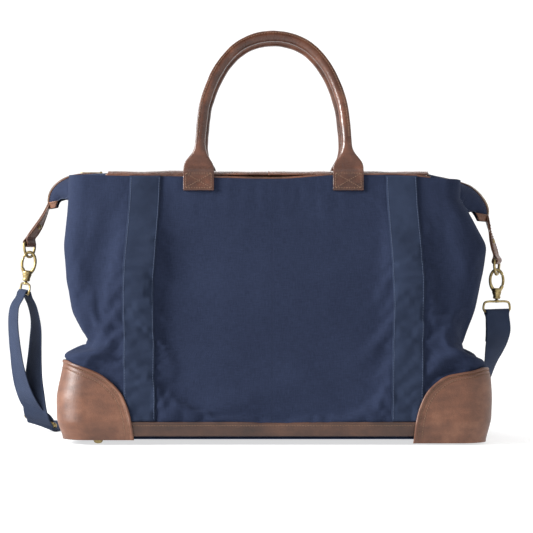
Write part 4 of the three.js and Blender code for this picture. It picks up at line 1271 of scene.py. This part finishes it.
def ear_point(hand, v, turn, inset=0.0):
    """A place on an ear: v along the ridge, turn from -1 (front hem) to 1 (back hem)."""
    line = EAR_LINES[hand]
    spot = v * EAR_STEPS
    low = min(int(spot), EAR_STEPS - 1)
    row = line[low] + (line[low + 1] - line[low]) * (spot - low)
    before, after = line[max(low - 1, 0)], line[min(low + 2, EAR_STEPS)]
    along = Vector((after[0] - before[0], 0, after[2] - before[2])).normalized()
    end = ENDS[hand]
    down = Vector((end * along.z, 0, -end * along.x))
    angle = turn * math.pi / 2
    valley = 4.5 * MM * (1 - smoothstep(v, 0, 0.55))
    drop = row[4] * (1 - math.cos(angle)) + valley * math.cos(angle) ** 4 + inset * math.cos(angle)
    place = Vector((row[0], 0, row[2])) + down * drop
    place.y = (row[3] - inset) * math.sin(angle)
    out = (Vector((0, math.sin(angle), 0)) - down * math.cos(angle)).normalized()
    return place, out


def ear_piece(hand, name, material, span, turns, layers, columns, rows, relief=None):
    """A sheet that follows an ear over a span of its ridge and of its turns, between two insets."""
    def place(u, v, w):
        along, turn = lerp(*span, v), lerp(*turns, u)
        point, out = ear_point(hand, along, turn, lerp(*layers, w))
        if relief is not None:
            point += out * relief(along, turn, w)
        return point, (turn * 0.05, along * 0.12)

    return sheet_piece(hand + name, material, rows, columns, place)


def make_ear(hand):
    """Folded-down canvas end of the zipped top, with its leather strips, zip and stitched hem."""
    def crumple(along, turn, w):
        point, _ = ear_point(hand, along, turn)
        soft = smoothstep(along, 0.03, 0.25)
        hem = 0.6 * MM * smoothstep(abs(turn), 0.9, 0.96) * w
        return soft * 1.3 * MM * wander(*point, 0.035, 4.0) * (1 - abs(turn) ** 6) + hem

    def strip_relief(along, turn, w):
        edge = min(abs(abs(turn) - STRIP_FROM), abs(abs(turn) - STRIP_TO)) * 40 * MM
        return crumple(along, turn, 0) + w * ridges(edge, (1.2, 1.3, 0.6))

    layers = (CANVAS_THICK, 0.0)
    body = ear_piece(hand, "_ear_canvas", CANVAS, (0.0, 0.985), (-1, 1), layers, 60, 60, crumple)
    settle(body, "canvas", "bag", hand + "_ear")
    span, layers = (0.0, WRAP_FROM + 0.01), (-0.15 * MM, -1.4 * MM)
    for side_name, side in SIDES.items():
        turns = sorted((side * STRIP_FROM, side * STRIP_TO))
        strip = ear_piece(hand, f"_ear_{side_name}_strip", HANDLE, span, turns, layers, 16, 60, strip_relief)
        settle(strip, "handle_leather", "bag")
    seam = Parts()
    for turn in (-0.93, 0.93, -0.26, 0.26):
        line = []
        for along in spaced(0.02, WRAP_FROM, 60):
            point, out = ear_point(hand, along, turn)
            line.append((point + out * (crumple(along, turn, 1) + 0.2 * MM), out))
        stitches(seam, line)
    settle(seam.piece(hand + "_ear_stitching", NAVY_THREAD), "canvas", "bag")
    make_ear_zip(hand)
    make_zip_end(hand)


def make_ear_zip(hand):
    """The closed zip continues along the ridge of the ear; on the left it starts past the slider."""
    start = 0.33 if hand == "left" else 0.02
    span, layers = (start, WRAP_FROM + 0.02), (-0.1 * MM, -0.9 * MM)
    settle(ear_piece(hand, "_ear_tape", TAPE, span, (-0.16, 0.16), layers, 8, 50), "zip_teeth", "bag")
    teeth = Parts()
    at, index = start + 0.01, 0
    while at < WRAP_FROM:
        point, out = ear_point(hand, at, 0.0)
        along = (ear_point(hand, at + 0.01, 0.0)[0] - point).normalized()
        across = Vector((0, 1 if index % 2 else -1, 0))
        centre = point + out * 1.6 * MM + across * 1.1 * MM
        teeth.add(*block(centre, along * 0.62 * MM, across * 2.0 * MM, out * 0.8 * MM))
        at += TOOTH_PITCH / 2 / EAR_LENGTH
        index += 1
    settle(faces_out(teeth.piece(hand + "_ear_teeth", TEETH, False)), "zip_teeth", "bag")


def block(centre, a, b, c):
    """A closed block with half-axes a, b and c."""
    corners = [centre + sa * a + sb * b + sc * c for sc in (-1, 1) for sb in (-1, 1) for sa in (-1, 1)]
    return corners, [(0, 2, 3, 1), (4, 5, 7, 6), (0, 1, 5, 4), (2, 6, 7, 3), (0, 4, 6, 2), (1, 3, 7, 5)]


def make_zip_end(hand):
    """Leather wrap that closes the end of the zip."""
    def relief(along, turn, w):
        edge = min((1 - abs(turn)) * 20 * MM, (along - WRAP_FROM) * 150 * MM)
        return w * ridges(edge, (1.4, 1.3, 0.6))

    layers = (-0.45 * MM, -2.2 * MM)
    wrap = ear_piece(hand, "_zip_wrap", LEATHER, (WRAP_FROM, 1.0), (-1, 1), layers, 40, 20, relief)
    settle(wrap, "leather", "bag", hand + "_zip_end")
    seam = Parts()
    line = [ear_point(hand, WRAP_FROM + 0.025, turn) for turn in spaced(-0.88, 0.88, 40)]
    stitches(seam, [(point + out * 2.2 * MM, out) for point, out in line], 3.0 * MM)
    settle(seam.piece(hand + "_zip_wrap_stitching", BROWN_THREAD), "leather", "bag")


# ---- Ribbons: webbing strap and leather tabs ---------------------------------------------------
def ribbon(name, material, route, steps, width, thick, selvedge=0.0):
    """Band of cloth along a route of [x, y, z, across x, y, z] in metres.
    Returns the piece and the frames (centre, across, out) of its stations."""
    rows = spline(route, steps).tolist()
    half = width / 2
    outline = [(-1, 0.0), (-0.985, 0.34), (-0.94, 0.5), (-0.86, 0.46), (-0.8, 0.42), (-0.5, 0.5), (0, 0.52)]
    outline += [(-a, b) for a, b in reversed(outline[:-1])]
    outline += [(a, -b) for a, b in reversed(outline[1:-1])]
    verts, uvs, frames = [], [], []
    walked = 0.0
    for i, row in enumerate(rows):
        centre = Vector(row[:3])
        tangent = (Vector(rows[min(i + 1, steps)][:3]) - Vector(rows[max(i - 1, 0)][:3])).normalized()
        across = Vector(row[3:6])
        across = (across - tangent * across.dot(tangent)).normalized()
        out = tangent.cross(across)
        frames.append((centre, across, out))
        if i:
            walked += (centre - Vector(rows[i - 1][:3])).length
        wave = selvedge * wander(0, 0, walked, 0.05, 2.0)
        for a, b in outline:
            ruffle = selvedge * wander(a, 0, walked, 0.03, 5.0) * abs(a) ** 3
            verts.append(centre + across * (a * half + wave) + out * (b * thick + ruffle))
            uvs.append((a * half, walked))
    piece = faces_out(new_piece(name, verts, loft_faces(steps + 1, len(outline)), material, True, uvs))
    return piece, frames


STRAP_WIDTH = 38 * MM
STRAP_THICK = 1.6 * MM
# The strap's route in mm: [x, y, z] of its middle line and the direction across it.
RIGHT_END_ROUTE = [
    (297.2, 14, 133, -0.83, -0.52, -0.12), (297.5, 9, 140, -0.86, -0.5, -0.05),
    (296.3, 3, 153, -0.85, -0.53, 0), (295.2, 0.8, 162.6, -0.85, -0.53, 0),
]
MAIN_ROUTE = [
    (296.9, 20.8, 124, -0.82, -0.5, -0.2), (295, 42, 104, -0.7, -0.5, -0.47),
    (293, 72, 82, -0.5, -0.55, -0.65), (290, 104, 59, -0.4, -0.62, -0.67),
    (280, 138, 36, -0.4, -0.75, -0.5), (256, 166, 18, -0.4, -0.88, -0.2), (216, 184, 6, -0.25, -0.95, 0),
    (165, 194, 2, -0.1, -1, 0), (90, 200, 1.6, 0, -1, 0), (0, 202, 1.6, 0, -1, 0),
    (-90, 199, 1.6, 0, -1, 0), (-165, 192, 2, 0.1, -1, 0), (-222, 180, 4, 0.3, -0.95, 0),
    (-268, 158, 7, 0.55, -0.83, -0.1), (-298, 133, 8.4, 0.78, -0.6, -0.25),
    (-312, 115, 7.2, 0.9, -0.3, -0.33), (-317.9, 103, 9.2, 0.93, -0.02, -0.33),
]
INNER_ROUTE = [
    (-318.2, 96, 13.6, 0.93, 0.05, -0.33), (-319.2, 86.5, 17.6, 0.93, 0.03, -0.33),
    (-321, 76, 26, 0.9, -0.15, -0.33), (-322, 60, 49, 0.8, -0.42, -0.3), (-320, 42, 85, 0.62, -0.7, -0.25),
    (-316.5, 27, 122, 0.5, -0.82, -0.2), (-315, 15, 152, 0.42, -0.88, -0.1), (-319, 6, 176, 0.38, -0.92, 0),
    (-324, 2, 188, 0.375, -0.927, -0.03),
]
BAIL_TURN = [
    (-325.3, 1.1, 194.4, 0.375, -0.927, -0.05), (-328.2, 0, 196.2, 0.375, -0.927, -0.05),
    (-331.2, -1, 194.4, 0.375, -0.927, -0.05),
]
OUTER_ROUTE = [
    (-333.4, -2, 188, 0.375, -0.927, -0.03), (-339.5, -1, 176, 0.38, -0.92, 0),
    (-343, 4, 160, 0.42, -0.88, -0.15), (-343.5, 15, 134, 0.47, -0.82, -0.25),
    (-341.5, 30, 102, 0.55, -0.76, -0.3), (-336.5, 50, 66, 0.7, -0.6, -0.32),
    (-327.5, 70, 39, 0.85, -0.35, -0.33), (-319.5, 83, 27.5, 0.92, -0.05, -0.33),
    (-317.2, 90, 23, 0.93, 0.03, -0.33), (-316.9, 96, 19.8, 0.93, 0.05, -0.33),
]
RIGHT_BAR = (294.5, 0, 168.4)  # middle of the right bail's lower bar


def shifted(row, direction, distance):
    return tuple(p + distance * d for p, d in zip(row[:3], direction)) + tuple(row[3:])


def strap_route():
    """The whole webbing, from its sewn-down end over the right bail, round the back, to the adjuster."""
    aside = (-0.53, 0.85, 0)
    across = (-0.85, -0.53, 0)
    layer, turn = 1.0, 2.7
    short_end = [shifted(row, aside, layer) for row in RIGHT_END_ROUTE]
    bar = (*RIGHT_BAR, *across)
    over = [shifted(bar, aside, turn), shifted(bar, (0, 0, 1), turn), shifted(bar, aside, -turn)]
    down = [shifted(row, aside, -layer) for row in reversed(RIGHT_END_ROUTE)]
    route = short_end + over + down[:3] + MAIN_ROUTE + INNER_ROUTE + BAIL_TURN + OUTER_ROUTE
    return [tuple(p * MM for p in row[:3]) + tuple(row[3:]) for row in route]


def make_strap():
    """The shoulder strap, with the stitches that close its loop round the right bail."""
    steps = 420
    ruffle = 0.5 * MM
    route = strap_route()
    strap, frames = ribbon("shoulder_strap", WEBBING, route, steps, STRAP_WIDTH, STRAP_THICK, ruffle)
    settle(strap, "webbing", "strap", "strap_right_end", "strap_main", "strap_left_loop")
    seam = Parts()
    for share in (0.012, 0.022):
        centre, across, out = frames[round(steps * share)]
        ends = [centre + across * s * (STRAP_WIDTH / 2 - 3 * MM) for s in (-1, 1)]
        line = [ends[0].lerp(ends[1], t) + out * STRAP_THICK * 0.5 for t in spaced(0, 1, 10)]
        stitches(seam, [(point, out) for point in line])
        stitches(seam, [(point - out * (STRAP_THICK + 2.1 * MM), -out) for point in line])
    stitching = seam.piece("strap_stitching", NAVY_THREAD)
    settle(stitching, "webbing", "strap")


# ---- Hardware --------------------------------------------------------------------------------
def joint_named(name):
    return next(j for j in frame["record"]["behaviour"]["joints"] if j["name"] == name)


def closed_spline(outline, steps):
    """Evenly spaced points round a closed smooth outline of (x, z) pairs in mm; the points are in metres."""
    points = [(*pair, 0) for pair in in_metres(outline)]
    count = len(points)
    loop = spline([points[(i - 3) % count] for i in range(count + 6)], steps * (count + 5))
    away = np.linalg.norm(loop - np.array(points[0]), axis=1)
    start = int(np.argmin(away[:len(loop) // 2]))
    stop = start + steps + int(np.argmin(away[start + steps:]))
    picked = loop[start:stop]
    return [picked[int(i)].tolist() for i in np.linspace(0, len(picked), steps, endpoint=False)]


RING_DROP = 18 * MM
RING_WIRE, HOOK_WIRE, BAIL_WIRE = 1.8 * MM, 2.0 * MM, 1.5 * MM
RING_OUTLINE = [
    (-13, 0), (-6, 0), (0, 0), (6, 0), (13, 0), (13.6, -5), (10.5, -12.5), (5.5, -17), (0, -18), (-5.5, -17),
    (-10.5, -12.5), (-13.6, -5),
]
HOOK_TOP, HOOK_LENGTH, HOOK_HALF_WIDTH = -11.7 * MM, 28 * MM, 8.6 * MM
BARREL_TOP = -36.2 * MM
BAIL_TOP, BAIL_BOTTOM, BAIL_HALF = -53.6, -66.1, 22  # in mm
BAIL_OUTLINE = [
    (0, BAIL_TOP), (14, BAIL_TOP), (BAIL_HALF - 2, BAIL_TOP - 1.6), (BAIL_HALF, BAIL_TOP - 7),
    (BAIL_HALF, BAIL_BOTTOM + 3), (BAIL_HALF - 2, BAIL_BOTTOM), (12, BAIL_BOTTOM), (0, BAIL_BOTTOM),
    (-12, BAIL_BOTTOM), (2 - BAIL_HALF, BAIL_BOTTOM), (-BAIL_HALF, BAIL_BOTTOM + 3),
    (-BAIL_HALF, BAIL_TOP - 7), (2 - BAIL_HALF, BAIL_TOP - 1.6), (-14, BAIL_TOP),
]
# Turned pieces: distance along the axis and radius, in mm.
BARREL = [
    (0.2, 0.2), (0.4, 3.2), (0, 5.6), (-1.4, 6.7), (-2.8, 6.9), (-3.6, 6.3), (-4.4, 5.9), (-5.6, 6.1),
    (-7, 5.6), (-9.4, 4.9), (-10.6, 4.5), (-11.2, 5.0), (-12.6, 5.0), (-13.4, 4.4), (-14, 3.9),
    (-14, 2.3), (-11.4, 2.2), (-11.3, 0.2),
]
BAIL_STUD = [
    (-1.5, 0.2), (-1.5, 2.9), (0.2, 3.4), (1.6, 3.1), (2.6, 2.2), (2.9, 1.6), (6.4, 1.6), (6.6, 2.6),
    (8, 3.0), (9.6, 2.4), (10.1, 0.2),
]
RIVET = [(-0.3, 0.3), (-0.3, 3.3), (0.1, 3.5), (0.6, 3.3), (0.8, 2.7), (1.3, 2.2), (1.75, 1.2), (1.85, 0.2)]
BAIL_TWIST = {"left": -68, "right": 32}
GATE_HALF = 7.5 * MM
TAB_ROOT = {"left": (-299.2, 0, 305), "right": (285.6, 0, 289)}
TAB_WIDTH = 22 * MM
TAB_LEATHER = 1.5 * MM


class Chain:
    """Local frame of one end's D-ring, hook and bail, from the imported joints."""

    def __init__(self, hand):
        self.hand = hand
        rock = joint_named(hand + "_ring_rock")
        self.bar = Vector(rock["pos_m"])
        self.ring_across = Vector(rock["axis"]).normalized()
        self.up = Vector(joint_named(hand + "_hook_swivel")["axis"]).normalized()
        self.flip = ENDS[hand]
        self.x = Vector((0, 1, 0)).cross(self.up).normalized()
        self.pivot = self.bar - Vector((0, 0, RING_DROP))

    def ring(self, u, z):
        return self.bar + self.ring_across * u + Vector((0, 0, z))

    def hanging(self, x, y, z):
        return self.pivot + self.x * x + Vector((0, y, 0)) + self.up * (z + RING_DROP)

    def hook(self, x, z):
        return self.hanging(self.flip * x, 0, z)

    def bail(self, x, z):
        turn = math.radians(BAIL_TWIST[self.hand])
        return self.hanging(x * math.cos(turn), x * math.sin(turn), z)


def hook_outline(share):
    """The oval of the hook: share 0 at the top, clockwise towards the gate."""
    angle = math.pi / 2 - share * 2 * math.pi
    middle = HOOK_TOP - HOOK_LENGTH / 2
    return HOOK_HALF_WIDTH * math.cos(angle), middle + HOOK_LENGTH / 2 * math.sin(angle)


def make_chain(hand):
    """D-ring, hook, gate and bail of one end, with smooth wires and turned barrel."""
    chain = Chain(hand)
    outline = closed_spline(RING_OUTLINE, 72)
    wire = tube([chain.ring(x, z) for x, z, _ in outline], RING_WIRE, 16, closed=True)
    ring = metal(hand + "_ring_wire", hand + "_ring", hand + "_d_ring", wire)

    middle = HOOK_TOP - HOOK_LENGTH / 2
    spots = [hook_outline(share) for share in spaced(0, 1, 145)]
    start = next(i for i, (x, z) in enumerate(spots) if x > 0 and z < middle - GATE_HALF)
    round_trip = [spots[(start + i) % (len(spots) - 1)] for i in range(len(spots) - 1)]
    open_spots = [(x, z) for x, z in round_trip if x <= 0 or abs(z - middle) > GATE_HALF]
    radii = [HOOK_WIRE * (1 + 0.22 * smoothstep(middle - z, 2 * MM, 12 * MM)) for _, z in open_spots]
    wire = tube([chain.hook(*spot) for spot in open_spots], radii, 14)
    barrel = lathe(in_metres(BARREL), chain.hanging(0, 0, BARREL_TOP), chain.up, 28)
    hook = metal(hand + "_hook_body", hand + "_hook", hand + "_hook", wire, barrel)

    low, high = middle - GATE_HALF + 1.0 * MM, middle + GATE_HALF - 0.8 * MM
    line = [chain.hook(x, z) for x, z in spots if x > 0 and low < z < high]
    gate = metal(hand + "_gate_wire", hand + "_gate", hand + "_hook_gate", tube(line, HOOK_WIRE * 0.9, 14))

    wire = tube([chain.bail(x, z) for x, z, _ in closed_spline(BAIL_OUTLINE, 96)], BAIL_WIRE, 14, closed=True)
    stud = lathe(in_metres(BAIL_STUD), chain.hanging(0, 0, BAIL_TOP * MM), chain.up, 22)
    bail = metal(hand + "_bail_wire", "strap", hand + "_hook_bail", wire, stud)
    return [ring, hook, gate, bail]


def make_tab(hand):
    """Leather tab folded round the D-ring's bar, with its two layers riveted."""
    chain = Chain(hand)
    root = Vector(TAB_ROOT[hand]) * MM + Vector((-ENDS[hand] * 4.5 * MM, 0, 5 * MM))
    stop = chain.bar + Vector((0, 0, 4.4 * MM))
    middle = root.lerp(chain.bar, 0.5) + Vector((0, 0, -1.5 * MM))
    line = spline([root, middle, stop], 20).tolist()
    twist = math.atan2(-chain.ring_across.x, chain.ring_across.y)

    def station(share):
        spot = round(share * 20)
        turn = twist * smoothstep(share, 0.1, 0.8)
        across = Vector((-math.sin(turn), math.cos(turn), 0))
        ahead = Vector(line[min(spot + 1, 20)]) - Vector(line[max(spot - 1, 0)])
        return Vector(line[spot]), across, ahead.normalized().cross(across).normalized()

    def layered(share, layer):
        centre, across, out = station(share)
        return (*(centre + out * layer), *across)

    layer = 0.95 * MM
    shares = [0, 0.2, 0.4, 0.6, 0.8, 0.95]
    front = [layered(share, layer) for share in shares]
    back = [layered(share, -layer) for share in reversed(shares)]
    _, across, out = station(1.0)
    turn_radius = 3.9 * MM
    down = Vector((0, 0, -1))
    loop = []
    for degrees in (0, 45, 90, 135, 180):
        angle = math.radians(degrees)
        loop.append((*(chain.bar + turn_radius * (out * math.cos(angle) + down * math.sin(angle))), *across))
    tab, frames = ribbon(hand + "_tab_leather", LEATHER, front + loop + back, 90, TAB_WIDTH, TAB_LEATHER)
    start, end = root + Vector((0, 0, 2 * MM)), root - Vector((0, 0, 14 * MM))
    settle_blend(tab, "leather", ("bag", "strap"), start, end, hand + "_ring_tab")
    seam = Parts()
    lift = TAB_LEATHER / 2 + 0.1 * MM
    for reach in (2.6 * MM - TAB_WIDTH / 2, TAB_WIDTH / 2 - 2.6 * MM):
        stitches(seam, [(centre + across * reach + out * lift, out) for centre, across, out in frames[8:36]])
    stitching = seam.piece(hand + "_tab_stitching", BROWN_THREAD)
    settle_blend(stitching, "leather", ("bag", "strap"), start, end)

    low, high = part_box(hand + "_tab_rivet")
    centre, _, out = station(0.5)
    if (Vector(low) + Vector(high) - 2 * centre).dot(out) < 0:
        out = -out
    middle = (low + high) / 2
    base = centre + out * 1.9 * MM + (middle - centre) - out * (middle - centre).dot(out)
    metal(hand + "_rivet_cap", "strap", hand + "_tab_rivet", lathe(in_metres(RIVET), base, out, 24))


ADJUSTER = Vector((-317.5, 96, 16.5)) * MM
ADJUSTER_ACROSS = Vector((0.93, 0.05, -0.33))
ADJUSTER_ALONG = Vector((-0.1, -0.9, 0.42))


def make_adjuster():
    """Oval adjuster frame with its middle bar."""
    across = ADJUSTER_ACROSS.normalized()
    along = (ADJUSTER_ALONG - across * ADJUSTER_ALONG.dot(across)).normalized()
    half, deep, wire = 21.6, 9, 1.3
    corners = [
        (0, -deep), (half - 3, -deep), (half, 3 - deep), (half, deep - 3), (half - 3, deep), (0, deep),
        (3 - half, deep), (-half, deep - 3), (-half, 3 - deep), (3 - half, -deep),
    ]
    outline = [ADJUSTER + across * x + along * z for x, z, _ in closed_spline(corners, 90)]
    bar = [ADJUSTER + across * x * MM for x in spaced(-half, half, 12)]
    shapes = tube(outline, wire * MM, 14, closed=True), tube(bar, wire * MM, 14)
    return metal("adjuster_frame", "strap", "strap_slider", *shapes)


# ---- Nodes that stay as they are --------------------------------------------------------------
def dress(node, material):
    """Give a CAD node that stays visible one of the materials."""
    slots = frame["nodes"][node].data.materials
    if not slots:
        slots.append(material)
    for index in range(len(slots)):
        slots[index] = material


def dress_nodes():
    n = Nodes("grey_board")
    fibres = n.noise(n.scaled(n.object_space, (400, 90, 400)), 1.0, 4)
    colour = n.ramp(fibres, [(0.3, (0.12, 0.11, 0.1)), (0.7, (0.22, 0.2, 0.17))])
    board = n.set(Base_Color=colour, Roughness=0.85)
    n = Nodes("rope_core")
    lay = n.waves(n.object_space, 260.0, "DIAGONAL", 1.0)
    colour = n.ramp(lay, [(0.2, (0.4, 0.34, 0.24)), (0.8, (0.66, 0.6, 0.46))])
    rope = n.set(Base_Color=colour, Roughness=0.9)
    dress("base_board", board)
    for name in ("front_handle_core", "back_handle_core"):
        dress(name, rope)
    for name in ("zip_slider", "zip_puller"):
        dress(name, BRASS)


# ---- Making it all ---------------------------------------------------------------------------
make_camera()
make_studio()
make_floor()
hardware = [piece for hand in ENDS for piece in make_chain(hand)] + [make_adjuster()]
make_strap()
drape.simulate()
make_shell()
make_base()
make_lining()
for side_name, side in SIDES.items():
    make_base_band(side_name + "_base_band", side)
    for end_name, end in ENDS.items():
        make_corner(f"{side_name}_{end_name}_corner", end, side)
        make_webbing_band(f"{side_name}_{end_name}_webbing", end, side)
    make_handle(side_name + "_handle", side)
    make_rim_binding(side_name, side)
    for half in (-1, 1):
        make_facing(side_name, side, half)
        make_teeth(side_name, side, half)
make_feet()
for hand in ENDS:
    make_ear(hand)
    make_tab(hand)
dress_nodes()
